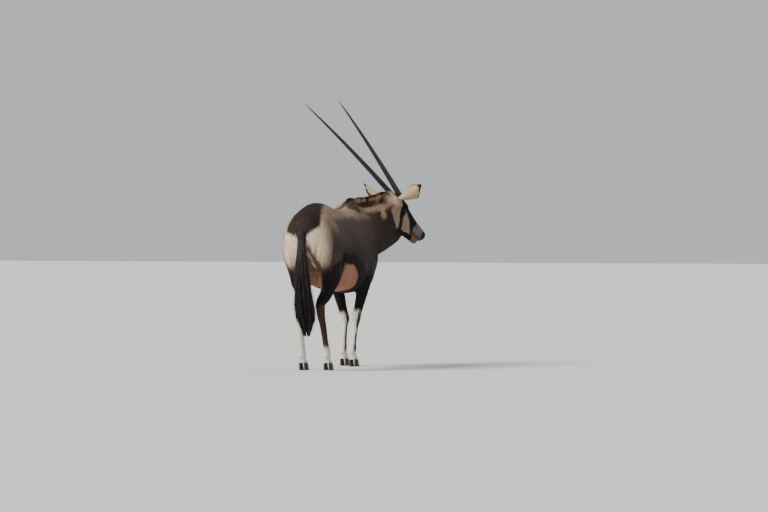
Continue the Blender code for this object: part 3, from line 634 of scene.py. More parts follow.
def paint_body(points):
    forward, left, up = body_numbers(points)
    wave, fine = wobble(points, 0.14, 1) * 0.012, wobble(points, 0.045, 4) * 0.006
    side = np.abs(left)
    height, length = up + wave, forward + wave
    # The base coat, in painted shade: darker than the real grey-fawn.
    colour = np.tile(SHADED_FAWN, (len(points), 1))
    # Painted shade: the coat darkens below the back, and over the neck and head.
    lay(colour, FAWN_IN_DEEP_SHADE, 0.85 * ease(1.02, 0.84, height))
    lay(colour, FAWN_IN_DEEP_SHADE, ease(0.40, 0.60, length))
    # Painted light: a pale tan strip along the top of the back, where light falls on it.
    lay(colour, LOIN_TAN_AND_LIT_BACK, ease(1.06, 1.11, height + fine) * ease(0.50, 0.42, forward))
    # A tan band just ahead of the dark rump patch.
    lay(colour, LOIN_TAN_AND_LIT_BACK, 0.8 * ease(0.96, 1.06, height) * ease(-0.30, -0.38, forward))
    # The pale buttock patch stops higher on the right side: painted shade where the right buttock
    # lies in shade.
    foot = np.where(left > 0, 0.62, 0.69)
    lay(colour, CREAM, ease(-0.505, -0.560, length) * ease(foot - 0.03, foot + 0.05, up + fine))
    lay(colour, CREAM, 0.45 * ease(-0.46, -0.52, length) * ease(0.70, 0.80, up))
    # Painted shade and warm reflected light on the groin.
    groin = ease(0.74, 0.68, up + fine) * ease(-0.22, -0.28, forward)
    lay(colour, BELLY_SHADE_AND_GROUND_GLOW, groin * ease(0.115, 0.085, side + fine))
    # Painted shade: darker brown low between the hind legs, where shade falls.
    between = 0.5 * ease(-0.50, -0.46, length) * ease(0.86, 0.74, up)
    lay(colour, SHADE_BETWEEN_THIGHS, between * ease(-0.40, -0.46, forward))
    streak = left + 0.036 + (0.846 - up) * 0.316 + fine * 0.3
    rear = ease(-0.3, -0.4, forward)
    breadth = np.interp(up, [0.72, 0.80, 0.90], [0.052, 0.044, 0.014])
    # Painted shade in the cleft between the thighs.
    inner = ease(-breadth - 0.014, -breadth + 0.006, streak + wave) * ease(0.040, 0.020, left)
    inner = inner * ease(0.955, 0.88, height) * ease(0.70, 0.74, up)
    lay(colour, SHADE_BETWEEN_THIGHS, 0.85 * inner * rear)
    hanging = wobble(points * np.array((1, 1, 0.12)), 0.030, 8)
    lank = 0.6 * ease(0.05, 0.6, hanging) * rear * ease(-0.02, -0.08, left)
    lay(colour, tone(124, 98, 80), lank * ease(0.93, 0.84, up) * ease(0.66, 0.72, up))
    line = 0.85 * ease(0.009, 0.003, np.abs(streak)) * ease(0.73, 0.76, up)
    lay(colour, CREAM, line * ease(0.87, 0.83, up) * rear)
    edge = -0.10 - np.where(left < 0, 3.7, 3.2) * side
    low = np.where(left < 0, 0.942 + 0.76 * side, 0.946 + 0.27 * side)
    rump = ease(edge + 0.05, edge - 0.05, forward + 3 * wave + 2 * fine)
    lay(colour, DARK_BROWN, rump * ease(low - 0.012, low + 0.020, height + fine))
    spine = ease(0.020, 0.008, side + fine) * ease(1.00, 1.06, up) * ease(0.50, 0.42, forward)
    lay(colour, DARK_BROWN, 0.85 * spine)
    withers = np.hypot((forward - 0.315) / 0.105, (left + 0.050) / 0.042)
    lay(colour, DARK_BROWN, 0.85 * ease(1.25, 0.65, withers + 12 * fine) * ease(1.10, 1.13, up))
    dock = ease(0.034, 0.018, side) * ease(-0.50, -0.56, forward)
    lay(colour, DARK_BROWN, dock * ease(0.90, 0.94, up))
    band = np.interp(forward, *np.array(FLANK_BAND).T)
    on_trunk = ease(-0.46, -0.40, forward) * ease(0.50, 0.42, forward)
    # Painted shade and warm reflected light: the belly below the black band.
    lay(colour, BELLY_SHADE_AND_GROUND_GLOW, ease(band, band - 0.03, up) * on_trunk)
    half = np.interp(forward, [-0.45, -0.20, 0.0, 0.15], [0.045, 0.032, 0.050, 0.075])
    inside = ease(half + 0.010, half - 0.010, np.abs(up - band + wave))
    lay(colour, BLACK, inside * on_trunk * ease(0.10, 0.14, side))
    thigh = 0.70 + 0.35 * (forward + 0.50) - 0.07 * ease(-0.50, -0.58, forward) * (left > 0)
    outer = np.maximum(ease(0.088, 0.112, side + 2 * fine), ease(0.615, 0.575, up))
    below = ease(thigh + 0.04, thigh - 0.03, height)
    lay(colour, BLACK, below * ease(-0.17, -0.23, forward) * outer)
    arm = 0.685 + 0.05 * (forward - 0.35)
    outer = np.maximum(ease(0.07, 0.10, side + fine), ease(0.60, 0.56, up))
    below = ease(arm + 0.03, arm - 0.02, height)
    lay(colour, BLACK, below * ease(0.08, 0.14, forward) * outer)
    paint_stockings(colour, forward, left, up, height)
    return colour


def paint_stockings(colour, forward, left, up, height):
    """The lower legs: white stockings with a dark stripe down the front, brown behind right as
    painted shade. On the front legs the stripe is turned to the right side, partly as painted
    shade.
    """
    middles = [leg_middle(name, up) for name in LEGS]
    nearest = np.argmin([np.hypot(forward - f, left - s) for f, s in middles], axis=0)
    for k, name in enumerate(LEGS):
        ahead, rightward = forward - middles[k][0], middles[k][1] - left
        mine, top = nearest == k, STOCKING_TOPS[name]
        below = ease(top + 0.018, top - 0.018, height + 0.9 * np.clip(ahead, -0.03, 0.03))
        below = below * mine * (up < 0.50)
        # Painted shade: the right hind leg's white stocking is painted brown, as it lies in shade;
        # its foot stays white.
        lay(colour, LEG_BROWN_AND_CANNON_SHADE if name == "leg_hind_right" else WHITE, below)
        if name == "leg_hind_right":
            lay(colour, WHITE, ease(0.19, 0.15, up) * mine)
        # On the front legs the dark stripe is turned toward the right side: partly the real front
        # stripe, partly painted shade on the side away from the light.
        if "front" in name:
            stripe = ease(0.000, 0.007, 0.5 * ahead + 0.87 * rightward)
        else:
            stripe = ease(0.001, 0.009, ahead)
        stripe = stripe * ease(0.10, 0.14, up)
        lay(colour, tone(44, 33, 29), 0.95 * stripe * below)
        # A brown band just above every hoof.
        lay(colour, LEG_BROWN_AND_CANNON_SHADE, 0.5 * ease(0.064, 0.056, up) * mine)


# %% Paint the neck and head
# Lines of the mask, in head coordinates: places along the face, and how far out the line is there.
# The stripe through the eye runs across the face, so it is read the other way round.
THROAT = np.array([(0.02, -0.130), (0.06, -0.170), (0.10, -0.195), (0.17, -0.222), (0.22, -0.212),
                   (0.30, -0.170), (0.36, -0.150)]).T
BLAZE_EDGE = np.array([(0.0, -0.008), (0.06, -0.018), (0.12, -0.034), (0.16, -0.044),
                       (0.20, -0.056), (0.25, -0.074), (0.30, -0.108), (0.34, -0.132)]).T
JAW_STRIPE = np.array([(0.08, -0.235), (0.16, -0.222), (0.22, -0.188), (0.30, -0.140),
                       (0.35, -0.118)]).T
EYE_STRIPE = np.array([(-0.225, 0.216), (-0.19, 0.204), (-0.115, 0.162), (-0.053, 0.142),
                       (-0.02, 0.120), (0.0, 0.105)]).T


def paint_head(points, colour):
    """Lays the neck's painted light and the mask of the face over the body's colours."""
    forward, left, up = body_numbers(points)
    local = head_numbers(points)
    side, along, out = np.abs(local[:, 0]), local[:, 1], local[:, 2]
    wave, fine = wobble(points, 0.05, 2) * 0.004, wobble(points, 0.022, 5) * 0.004
    neck = ease(0.42, 0.50, forward) * ease(0.86, 0.90, up)
    crest = crest_distance(points)
    tufted = 0.007 * np.sin(forward * 230 + 4 * np.sin(forward * 61)) + 3 * fine
    # Painted light: a pale tan band along the top of the neck, where light falls on it.
    lay(colour, TAN_AND_LIT_NECK, 0.90 * neck * ease(0.115, 0.070, crest + 3 * wave + 2 * fine))
    crest_stripe = 0.9 * neck * ease(0.034, 0.020, crest + tufted)
    lay(colour, DARK_BROWN, crest_stripe * ease(0.06, -0.02, along))
    hanging = ease(0.022, 0.010, np.abs(forward - 0.598 - 0.3 * (up - 1.12) + wave))
    hanging = hanging * ease(1.07, 1.11, up) * neck
    lay(colour, TAN_AND_LIT_NECK, 0.9 * hanging * ease(0.10, 0.14, np.abs(left)))
    head = ease(0.52, 0.62, forward) * (up > 0.86)
    throat = np.interp(along, *THROAT)
    front = ease(0.030, 0.060, along + 0.10 * (out + 0.1))
    front = front * ease(throat - 0.008, throat + 0.010, out + wave) * head
    # Painted shade: the white of the cheek and the front of the throat, painted greyish brown as in
    # shade.
    lay(colour, SHADED_CHEEK_WHITE, front)
    # Painted light: a bright cream patch at the base of the ear, the face's pale colour where light
    # falls on it.
    ear_base = np.hypot(np.hypot((along - 0.018) * 0.8, out + 0.062), side - 0.062)
    lay(colour, tone(224, 204, 178), ease(0.070, 0.018, ear_base + 2 * wave + 2 * fine) * head)
    edge = np.interp(along, *BLAZE_EDGE)
    blaze = ease(edge - 0.005, edge + 0.005, out + wave) * ease(0.015, 0.035, along)
    lay(colour, BLACK, blaze * head)
    stripe_along = np.interp(out, *EYE_STRIPE)
    half = np.interp(out, [-0.20, -0.10, -0.05, 0.0], [0.024, 0.026, 0.026, 0.018])
    stripe = ease(half + 0.004, half - 0.004, np.abs(along - stripe_along + wave)) * (side > 0.018)
    lay(colour, BLACK, stripe * front)
    jaw = np.interp(along, *JAW_STRIPE)
    under = ease(jaw + 0.010, jaw - 0.004, out + wave)
    under = under * ease(0.372, 0.356, along) * ease(0.17, 0.20, along)
    lay(colour, BLACK, under * head * ease(throat - 0.055, throat - 0.025, out))
    # Painted shade: the white muzzle is painted grey.
    start = 0.308 + 0.9 * np.maximum(-0.080 - out, 0)
    muzzle = ease(start - 0.006, start + 0.008, along + wave) * head
    lay(colour, tone(116, 110, 110), muzzle)
    # Painted shade and warm reflected light on the white chin and lips.
    chin = ease(-0.080, -0.105, out + 0.2 * (along - 0.37) + wave)
    lay(colour, CHIN_SHADE_AND_GROUND_GLOW, 0.85 * muzzle * chin)
    nose = muzzle * ease(0.378, 0.400, along + 0.3 * (out + 0.05))
    lay(colour, NOSE_GREY, nose * ease(-0.098, -0.080, out))
    lay(colour, BLACK, ease(0.017, 0.010, nostril_gap(local)) * head)
    lip = np.abs(out - lip_height(along))
    lay(colour, BLACK, 0.8 * ease(0.0042, 0.0020, lip) * ease(0.310, 0.330, along) * head)
    lay(colour, BLACK, ease(0.030, 0.025, eye_gap(local)) * head)
    return colour


def coat_colour(points):
    return paint_head(points, paint_body(points))


def give_colour(obj, colours):
    attribute = obj.data.color_attributes.new("coat", "FLOAT_COLOR", "POINT")
    values = np.ones((len(colours), 4), np.float32)
    values[:, :3] = colours
    attribute.data.foreach_set("color", values.ravel())


give_colour(skin, coat_colour(points_of(skin)))
print("markings painted on", len(skin.data.vertices), "corners")

# %% [markdown]
# ## Hair that lies
#
# Short hair points from nose to tail and from back to hoof. We write that lie as a function too:
# a heading for every place, laid flat on the surface. It steers the tufts.


# %% The lie of the coat
def head_share(forward, up, along):
    """0 off the head and 1 on it, from forward and up of the body and along of the head."""
    return ease(0.00, 0.06, along) * (up > 0.86) * (forward > 0.6)


def coat_lie(points, normals):
    forward, _, up = body_numbers(points)
    local = head_numbers(points)
    legs, head = ease(0.72, 0.58, up), head_share(forward, up, local[:, 1])
    neck = ease(0.45, 0.60, forward) * (1 - head) * (1 - legs)
    rear = ease(-0.40, -0.55, forward) * (1 - legs)
    trunk = (1 - legs) * (1 - head) * (1 - neck) * (1 - rear)
    lie = sum(share[:, None] * np.array(heading) for heading, share in (
        ((0, 1.0, -0.35), trunk), ((0, 0.35, -1.0), rear), ((0, 0.10, -1.0), legs),
        ((0.30, 0.85, -0.60), neck)))
    outward = np.sign(local[:, :1]) * HEAD_ROTATION[:, 0] * 0.25
    lie += head[:, None] * (outward - HEAD_ROTATION[:, 1] - HEAD_ROTATION[:, 2] * 0.25)
    lie -= normals * np.sum(lie * normals, axis=1)[:, None]
    return lie / (np.linalg.norm(lie, axis=1)[:, None] + 1e-9)


def hair_length(points):
    """Length of the short coat: longest on the neck and rump, shortest on face and feet."""
    forward, _, up = body_numbers(points)
    local = head_numbers(points)
    length = 0.012 + 0.014 * ease(0.30, 0.75, up)
    length += 0.006 * ease(0.45, 0.60, forward) * (up > 0.9)
    head = head_share(forward, up, local[:, 1])
    length += head * (0.0115 - length)
    length -= 0.0055 * ease(0.34, 0.38, local[:, 1]) * head
    length -= 0.004 * ease(0.045, 0.030, eye_gap(local)) * head
    return length


# %% [markdown]
# ## Tufts
#
# A tuft is a thin tapered blade. We model one with a cone, cut into rings, and then lay thousands
# of copies over the skin with array arithmetic: each copy's rings are placed along its own
# path. The same strand maker also serves the long hair of the mane and tail, with more rings.


# %% One strand, modelled once
def strand_template(sides, rings):
    """Corners as (ring, across, over) and the faces of one closed, tapered strand."""
    obj = new_shape("cone", vertices=sides, radius1=1, radius2=0, depth=1, location=(0, 0, 0.5))
    with editing(obj):
        for k in range(1, rings):
            bpy.ops.mesh.select_all(action="SELECT")
            bpy.ops.mesh.bisect(plane_co=(0, 0, k / rings), plane_no=(0, 0, 1))
    co = points_of(obj)
    ring = np.rint(co[:, 2] * rings).astype(int)
    scale = np.maximum(1 - co[:, 2], 1e-6)
    cross = np.where((ring == rings)[:, None], 0, co[:, :2] / scale[:, None])
    faces = [tuple(p.vertices) for p in obj.data.polygons]
    bpy.data.objects.remove(obj)
    return ring, cross, faces


def strands(name, template, paths, across, over, widths, thicknesses, profile, colours, roots_uv,
            flat_lit=False):
    """Many strands as one mesh. Paths holds one row of places for each strand, root to tip."""
    ring, cross, faces = template
    count, corners = len(paths), len(ring)
    turned = np.sum(np.cross(across, over) * (paths[:, -1] - paths[:, 0]), axis=1) < 0
    across = np.where(turned[:, None], -across, across)
    places = paths[:, ring]
    wide = widths[:, None] * profile[ring][None, :] * cross[:, 0][None, :]
    thick = thicknesses[:, None] * profile[ring][None, :] * cross[:, 1][None, :]
    places = places + across[:, None, :] * wide[:, :, None] + over[:, None, :] * thick[:, :, None]
    mesh = bpy.data.meshes.new(name)
    mesh.vertices.add(count * corners)
    mesh.vertices.foreach_set("co", places.astype(np.float32).ravel())
    sizes = np.array([len(f) for f in faces])
    pattern = np.concatenate([np.array(f) for f in faces])
    loops = (pattern[None, :] + np.arange(count)[:, None] * corners).ravel()
    mesh.loops.add(len(loops))
    mesh.loops.foreach_set("vertex_index", loops.astype(np.int32))
    starts = np.concatenate([[0], np.cumsum(sizes)[:-1]])
    starts = (starts[None, :] + np.arange(count)[:, None] * len(pattern)).ravel()
    mesh.polygons.add(count * len(faces))
    mesh.polygons.foreach_set("loop_start", starts.astype(np.int32))
    mesh.update(calc_edges=True)
    obj = placed(name, mesh)
    rings = ring.max()
    shade = ROOT_SHADE + TIP_LIGHT * ring / rings
    give_colour(obj, (colours[:, None, :] * shade[None, :, None]).reshape(-1, 3))
    layer = mesh.uv_layers.new(name="OFBake")
    upward = ring[pattern] / rings * PATCH_LENGTH - PATCH_LENGTH / 2
    patch = np.column_stack([cross[pattern, 0] * PATCH_WIDTH, upward])
    layer.data.foreach_set("uv", (roots_uv[:, None, :] + patch[None]).astype(np.float32).ravel())
    mesh.shade_smooth()
    if flat_lit:
        facing = over[:, None, :] + 0.4 * cross[:, 0][None, :, None] * across[:, None, :]
        facing /= np.linalg.norm(facing, axis=2)[:, :, None]
        mesh.normals_split_custom_set_from_vertices(facing.reshape(-1, 3).astype(np.float32))
    return obj


ROOT_SHADE, TIP_LIGHT = 0.88, 0.20
PATCH_WIDTH, PATCH_LENGTH = 0.0010, 0.0030
TUFT = strand_template(3, 2)
print("a tuft has", len(TUFT[0]), "corners and", len(TUFT[2]), "faces")


# %% Where each place lies on the flattened hide
def hide_cells(points):
    """The part of the flattened hide that each place belongs to."""
    forward, left, up = body_numbers(points)
    local = head_numbers(points)
    cell = np.zeros(len(points), int)
    cell[(local[:, 1] > 0.0) & (up > 0.86) & (forward > 0.6)] = 1
    low = up < 0.58
    cell[low] = 2 + 2 * (forward[low] > 0) + (left[low] < np.where(forward[low] > 0, 0.02, -0.03))
    return cell


def cell_angle(points, cell):
    forward, left, up = body_numbers(points)
    local = head_numbers(points)
    centre = np.zeros((2, len(points)))
    order = ["leg_hind_left", "leg_hind_right", "leg_front_left", "leg_front_right"]
    for k, name in enumerate(order):
        mine = cell == 2 + k
        centre[:, mine] = leg_middle(name, up[mine])
    angle = np.arctan2(forward - centre[0], left - centre[1])
    middle = np.interp(forward, [0.4, 0.8], [0.0, -0.15])
    body = np.arctan2(left - middle, up - np.interp(forward, [0.4, 0.8], [0.88, 1.12]))
    angle = np.where(cell == 0, body, angle)
    angle = np.where(cell == 1, np.arctan2(local[:, 0], local[:, 2] + 0.08), angle)
    reach = np.where(cell == 0, (forward + 0.70) / 1.60, up / 0.60)
    return angle, np.where(cell == 1, (local[:, 1] + 0.03) / 0.50, reach)


def flat_place(cell, angle, reach):
    """Places on the hide's map: the body on top, below it the head and then the four legs."""
    turn = angle / math.tau + 0.5
    body = np.column_stack([0.02 + 0.96 * reach, 0.52 + 0.46 * turn])
    head = np.column_stack([0.02 + 0.40 * reach, 0.02 + 0.46 * turn])
    leg = np.column_stack([0.44 + 0.138 * (cell - 2) + 0.12 * turn, 0.02 + 0.46 * reach])
    flat = np.where((cell == 0)[:, None], body, np.where((cell == 1)[:, None], head, leg))
    return np.clip(flat, 0.003, 0.997)


def unwrap_skin(obj):
    """Gives the skin its OFBake map. Each face is laid out whole, on the side its middle is on."""
    mesh = obj.data
    points = points_of(obj)
    loops = numbers(mesh.loops, "vertex_index", 1, np.int32)
    sizes = numbers(mesh.polygons, "loop_total", 1, np.int32)
    centres = numbers(mesh.polygons, "center").astype(float)
    cell = hide_cells(centres)
    middle, _ = cell_angle(centres, cell)
    loop_cell, loop_middle = np.repeat(cell, sizes), np.repeat(middle, sizes)
    angle, reach = cell_angle(points[loops], loop_cell)
    angle = loop_middle + (angle - loop_middle + math.pi) % math.tau - math.pi
    layer = mesh.uv_layers.new(name="OFBake")
    layer.data.foreach_set("uv", flat_place(loop_cell, angle, reach).astype(np.float32).ravel())


unwrap_skin(skin)

# %% Lay the short coat
TUFT_COUNT = 96000
TUFT_WIDTH, TUFT_THICKNESS = 0.120, 0.028
# group number to place: quarters of the body, then the halves of the face, then the legs
COAT_PIECES = {
    0: "rear_left", 1: "rear_right", 2: "fore_left", 3: "fore_right", 4: "face_left",
    9: "face_right", 5: "hind_left", 6: "hind_right", 7: "front_left", 8: "front_right",
}


def triangles(obj):
    return len(obj.data.loops) - 2 * len(obj.data.polygons)


def scattered_roots(obj, count, draw):
    """Places and normals spread over a mesh, closer together where the hair is shorter."""
    mesh = obj.data
    mesh.calc_loop_triangles()
    corners = numbers(mesh.loop_triangles, "vertices", 3, np.int32)
    points, normals = points_of(obj), normals_of(obj)
    a, b, c = (points[corners[:, k]] for k in range(3))
    area = np.linalg.norm(np.cross(b - a, c - a), axis=1) / 2
    weight = area / hair_length((a + b + c) / 3) ** 1.6
    chosen = np.searchsorted(np.cumsum(weight) / weight.sum(), draw.random(count))
    chosen = np.minimum(chosen, len(corners) - 1)
    u, v = draw.random(count), draw.random(count)
    flip = u + v > 1
    u[flip], v[flip] = 1 - u[flip], 1 - v[flip]
    share = np.column_stack([1 - u - v, u, v])[:, :, None]
    root = (points[corners[chosen]] * share).sum(axis=1)
    normal = (normals[corners[chosen]] * share).sum(axis=1)
    return root, unit(normal)


def laid_on_skin(places, lift):
    """Places moved onto the nearest skin and lifted off it, so that tufts follow folds."""
    laid = np.empty_like(places)
    for k, place in enumerate(places):
        _, near, normal, _ = skin.closest_point_on_mesh(place)
        laid[k] = near + normal * lift[k]
    return laid


def short_coat():
    draw = np.random.default_rng(3)
    roots, normals = scattered_roots(skin, TUFT_COUNT, draw)
    local = head_numbers(roots)
    haired = (eye_gap(local) >= EYE_RADIUS + 0.004) & (nostril_gap(local) >= 0.012)
    haired &= roots[:, 2] >= 0.050
    roots, normals, local = roots[haired], normals[haired], local[haired]
    lie = coat_lie(roots, normals)
    across = np.cross(lie, normals)
    lie = unit(lie + across * draw.normal(0, 0.16, len(roots))[:, None])
    across = np.cross(lie, normals)
    length = hair_length(roots) * draw.uniform(0.75, 1.2, len(roots))
    lift = draw.uniform(0.03, 0.09, len(roots)) * length + 0.0004
    middle = laid_on_skin(roots + lie * (length * 0.5)[:, None], lift)
    tip = laid_on_skin(roots + lie * length[:, None], lift * 0.9)
    paths = np.stack([roots - normals * 0.0010, middle, tip], axis=1)
    colours = coat_colour(roots) * draw.uniform(0.86, 1.12, len(roots))[:, None]
    cell = hide_cells(roots)
    flat = flat_place(cell, *cell_angle(roots, cell))
    profile = np.array((0.75, 1.0, 0.0))
    quarter = np.where(normals[:, 0] > 0, 0, 1) + 2 * (roots[:, 1] < STANCE_ORIGIN.y)
    groups = np.where(cell == 0, quarter, 3 + cell)
    groups[(cell == 1) & (local[:, 0] < 0)] = 9
    made = []
    for key, name in COAT_PIECES.items():
        mine = groups == key
        obj = strands("coat_" + name, TUFT, paths[mine], across[mine], normals[mine],
                      length[mine] * TUFT_WIDTH, length[mine] * TUFT_THICKNESS, profile,
                      colours[mine], flat[mine], flat_lit=True)
        made.append(obj)
        print(obj.name, mine.sum(), "tufts,", triangles(obj), "triangles")
    return made


coat_pieces = short_coat()

# %% [markdown]
# ## Mane and tail
#
# The mane is short and stands up a little before it falls back along the crest. The tail carries
# a long black brush that grows from a slim dock. Both are long hair, so each is made of a few
# thousand strands with many rings, in clumps whose tips draw together, as real hair does.

# %% The mane
LONG = strand_template(4, 6)
RINGS = [k / 6 for k in range(7)]
surface = tree_of(skin)
MANE_LENGTH = 0.052
# forward, and the share of the mane's length that the hair has there
MANE_STAND = np.array([(0.29, 0.26), (0.42, 0.26), (0.50, 0.36), (0.58, 0.75), (0.66, 0.95),
                       (0.735, 0.80)]).T


def dropped_on_skin(places):
    """Drops places straight down onto the skin. Gives the hits, normals and which ones hit."""
    hits, normals, found = [], [], []
    for place in places:
        hit, normal, _, _ = surface.ray_cast(Vector(place), -UP)
        found.append(hit is not None)
        hits.append(hit if hit is not None else place)
        normals.append(normal if hit is not None else (0, 0, 1))
    return np.array(hits), np.array(normals), np.array(found)


def mane():
    draw = np.random.default_rng(5)
    count = 3200
    shares = draw.random(count)
    line = along_line(MANE_LINE, shares)
    ahead = along_line(MANE_LINE, np.minimum(shares + 0.03, 1))
    ahead = ahead - along_line(MANE_LINE, np.maximum(shares - 0.03, 0))
    heading = unit(np.column_stack([ahead[:, 1], -ahead[:, 0], ahead[:, 2]]))
    sideways = np.cross(heading, (0, 0, 1.0))
    offset = np.clip(draw.normal(0, 0.0115, count), -0.026, 0.026)
    places = at(line[:, 0], line[:, 1], line[:, 2] + 0.15)
    hits, normals, found = dropped_on_skin(places + sideways * offset[:, None])
    stand = np.interp(line[:, 0], *MANE_STAND)
    length = MANE_LENGTH * stand * draw.uniform(0.65, 1.15, count)
    clump = np.sin(shares * 160 + 3 * np.sin(shares * 37)) * 0.35
    spread = (offset * 22 + draw.normal(0, 0.12, count))[:, None]
    up = normals + sideways * spread + heading * (clump * 0.4)[:, None]
    back = -heading + sideways * (offset * 30)[:, None]
    steps = []
    for t in RINGS:
        rise, fall = length * (0.80 * t - 0.32 * t * t), length * 0.75 * t ** 1.5
        steps.append(hits - normals * 0.003 + up * rise[:, None] + back * fall[:, None])
    paths = np.stack(steps, axis=1)[found]
    shade = draw.uniform(0.7, 1.35, count)[found]
    pale = offset[found] + draw.normal(0, 0.004, found.sum()) > 0.013
    pale &= draw.random(found.sum()) < 0.75
    # The pale hairs on the right of the mane are painted light, like the lit top of the neck.
    colours = np.where(pale[:, None], TAN_AND_LIT_NECK, tone(40, 28, 23)) * shade[:, None]
    profile = np.array((0.9, 1.0, 0.95, 0.8, 0.6, 0.34, 0.0))
    cell = hide_cells(hits[found])
    flat = flat_place(cell, *cell_angle(hits[found], cell))
    widths = np.full(found.sum(), 0.0026)
    return strands("mane", LONG, paths, sideways[found], normals[found], widths,
                   np.full(found.sum(), 0.0012), profile, colours, flat)


mane_piece = mane()
print("mane:", len(mane_piece.data.polygons), "faces")

# %% The tail
TAIL_TOP = (-0.555, 1.010)
TAIL_TIP_HEIGHT = 0.215
TAIL_CLUMPS = 13
# how far above the tail's end each clump ends, once round
CLUMP_ENDS = 0.06, 0.0, 0.10, 0.03, 0.12, 0.02, 0.08, 0.0, 0.05, 0.11, 0.01, 0.07, 0.04, 0.06
# share of the tail's length, and how far the brush stands from its middle line there
TAIL_SWELL = np.array([(0, 0.010), (0.2, 0.030), (0.5, 0.058), (0.7, 0.078), (0.85, 0.072),
                       (1.0, 0.044)]).T
# share of the tail's length, and half the dock's width there
DOCK = np.array([(0, 0.046), (0.06, 0.036), (0.15, 0.025), (0.30, 0.021), (0.55, 0.015),
                 (0.74, 0.007)]).T


def tail_path(share):
    """Places on the tail's middle line, from its root, 0, to its end, 1."""
    swing = 0.085 * (1 - np.exp(-6.0 * share)) + 0.015 * share
    lean = 0.010 - 0.056 * share - 0.012 * share**2
    drop = (TAIL_TOP[1] - TAIL_TIP_HEIGHT) * (share - 0.040 * (1 - np.exp(-8 * share)))
    return at(TAIL_TOP[0] - swing, lean, TAIL_TOP[1] - drop)


def tube(name, centres, sides, overs, wide, thick, around):
    """A closed tube along centres: a grid rolled up and its seam welded."""
    rows = len(centres)
    obj = new_shape("grid", x_subdivisions=around, y_subdivisions=rows - 1, size=1)
    obj.name = name
    flat = points_of(obj)
    angle = (flat[:, 0] + 0.5) * math.tau
    row = np.rint((flat[:, 1] + 0.5) * (rows - 1)).astype(int)
    places = centres[row] + sides[row] * (np.cos(angle) * wide[row])[:, None]
    move_points(obj, places + overs[row] * (np.sin(angle) * thick[row])[:, None])
    with editing(obj, "VERT"):
        bpy.ops.mesh.select_all(action="SELECT")
        bpy.ops.mesh.remove_doubles(threshold=0.00001)
        bpy.ops.mesh.select_all(action="DESELECT")
        bpy.ops.mesh.select_non_manifold()
        bpy.ops.mesh.fill_holes(sides=0)
    faced_outward(obj)
    obj.data.shade_smooth()
    return obj


def hair_map(obj, place, size):
    """A small OFBake patch for a whole piece of hair's core."""
    points = points_of(obj)
    low, high = points.min(axis=0), points.max(axis=0)
    loops = numbers(obj.data.loops, "vertex_index", 1, np.int32)
    share = ((points - low) / (high - low))[loops]
    while obj.data.uv_layers:
        obj.data.uv_layers.remove(obj.data.uv_layers[0])
    layer = obj.data.uv_layers.new(name="OFBake")
    flat = np.array(place) + share[:, [1, 2]] * size
    layer.data.foreach_set("uv", flat.astype(np.float32).ravel())


def dock():
    shares = np.linspace(0, 0.74, 40)
    centres = tail_path(shares)
    half = np.interp(shares, *DOCK)
    sides = np.tile((1.0, 0, 0), (40, 1))
    overs = unit(np.cross(np.gradient(centres, axis=0), sides))
    obj = tube("tail_dock", centres, sides, overs, half, half * 0.85, 24)
    hair_map(obj, (0.42, 0.490), 0.02)
    give_colour(obj, np.tile(tone(26, 19, 16), (len(obj.data.vertices), 1)))
    return obj


def tail_hair():
    """Short hair down the dock, then tiers of long strands that swell out and draw in."""
    draw = np.random.default_rng(6)
    count = 3800
    share = 0.02 + 0.70 * draw.random(count) ** 0.8
    on_dock = draw.random(count) < 0.22
    share = np.where(on_dock, 0.20 * draw.random(count), share)
    angle = draw.uniform(0, math.tau, count)
    half = np.interp(share, *DOCK)
    out = np.column_stack([np.cos(angle), np.sin(angle) * 0.85, np.zeros(count)])
    long_hair = ease(0.05, 0.20, share)
    length = 0.24 + 0.13 * np.sin(np.pi * (share - 0.2) / 0.5) + draw.uniform(-0.05, 0.03, count)
    length = 0.045 + long_hair * length
    fill = draw.uniform(0.35, 1.06, count)
    drop_total = (TAIL_TOP[1] - TAIL_TIP_HEIGHT) * 0.96
    clump = np.round(angle / (math.tau / TAIL_CLUMPS))
    clump_angle = clump * (math.tau / TAIL_CLUMPS)
    clump_end = np.array(CLUMP_ENDS)[clump.astype(int)]
    clump_out = np.column_stack([np.cos(clump_angle), np.sin(clump_angle) * 0.85, np.zeros(count)])
    steps = []
    for t in RINGS:
        here = np.minimum(share + length * t / drop_total, 1.0)
        centre = tail_path(here)
        swell = np.interp(here, *TAIL_SWELL)
        radius = half * (1 - t) + swell * fill * t ** 0.6 * long_hair + 0.002
        heading = out * (1 - 0.45 * t) + clump_out * 0.45 * t
        wave = 0.006 * np.sin(9 * t + angle * 2 + share * 14) * t * long_hair
        steps.append(centre + heading * (radius + wave)[:, None])
    paths = np.stack(steps, axis=1)
    end = TAIL_TIP_HEIGHT + 0.5 * clump_end + 0.13 * (fill - 0.35) + 0.04 * draw.random(count)
    drop = np.maximum(paths[:, 0, 2] - paths[:, -1, 2], 1e-6)
    squeeze = np.minimum(1, (paths[:, 0, 2] - end) / drop)
    paths[:, :, 2] = paths[:, :1, 2] + (paths[:, :, 2] - paths[:, :1, 2]) * squeeze[:, None]
    across = np.column_stack([-np.sin(angle), np.cos(angle), np.zeros(count)])
    shade = draw.uniform(0.6, 1.5, count)
    colours = np.where(share[:, None] < 0.06, DARK_BROWN, tone(24, 20, 19)) * shade[:, None]
    profile = np.array((0.8, 1.0, 1.0, 0.9, 0.7, 0.45, 0.0))
    flat = np.column_stack([0.15 + 0.25 * share, 0.487 + 0.026 * angle / math.tau])
    width = np.where(long_hair > 0.5, 0.0034, 0.0020)
    return strands("tail_hair", LONG, paths, across, out, width, width * 0.45, profile, colours,
                   flat)


dock_piece = dock()
tail_piece = tail_hair()
print("tail hair:", len(tail_piece.data.polygons), "faces")

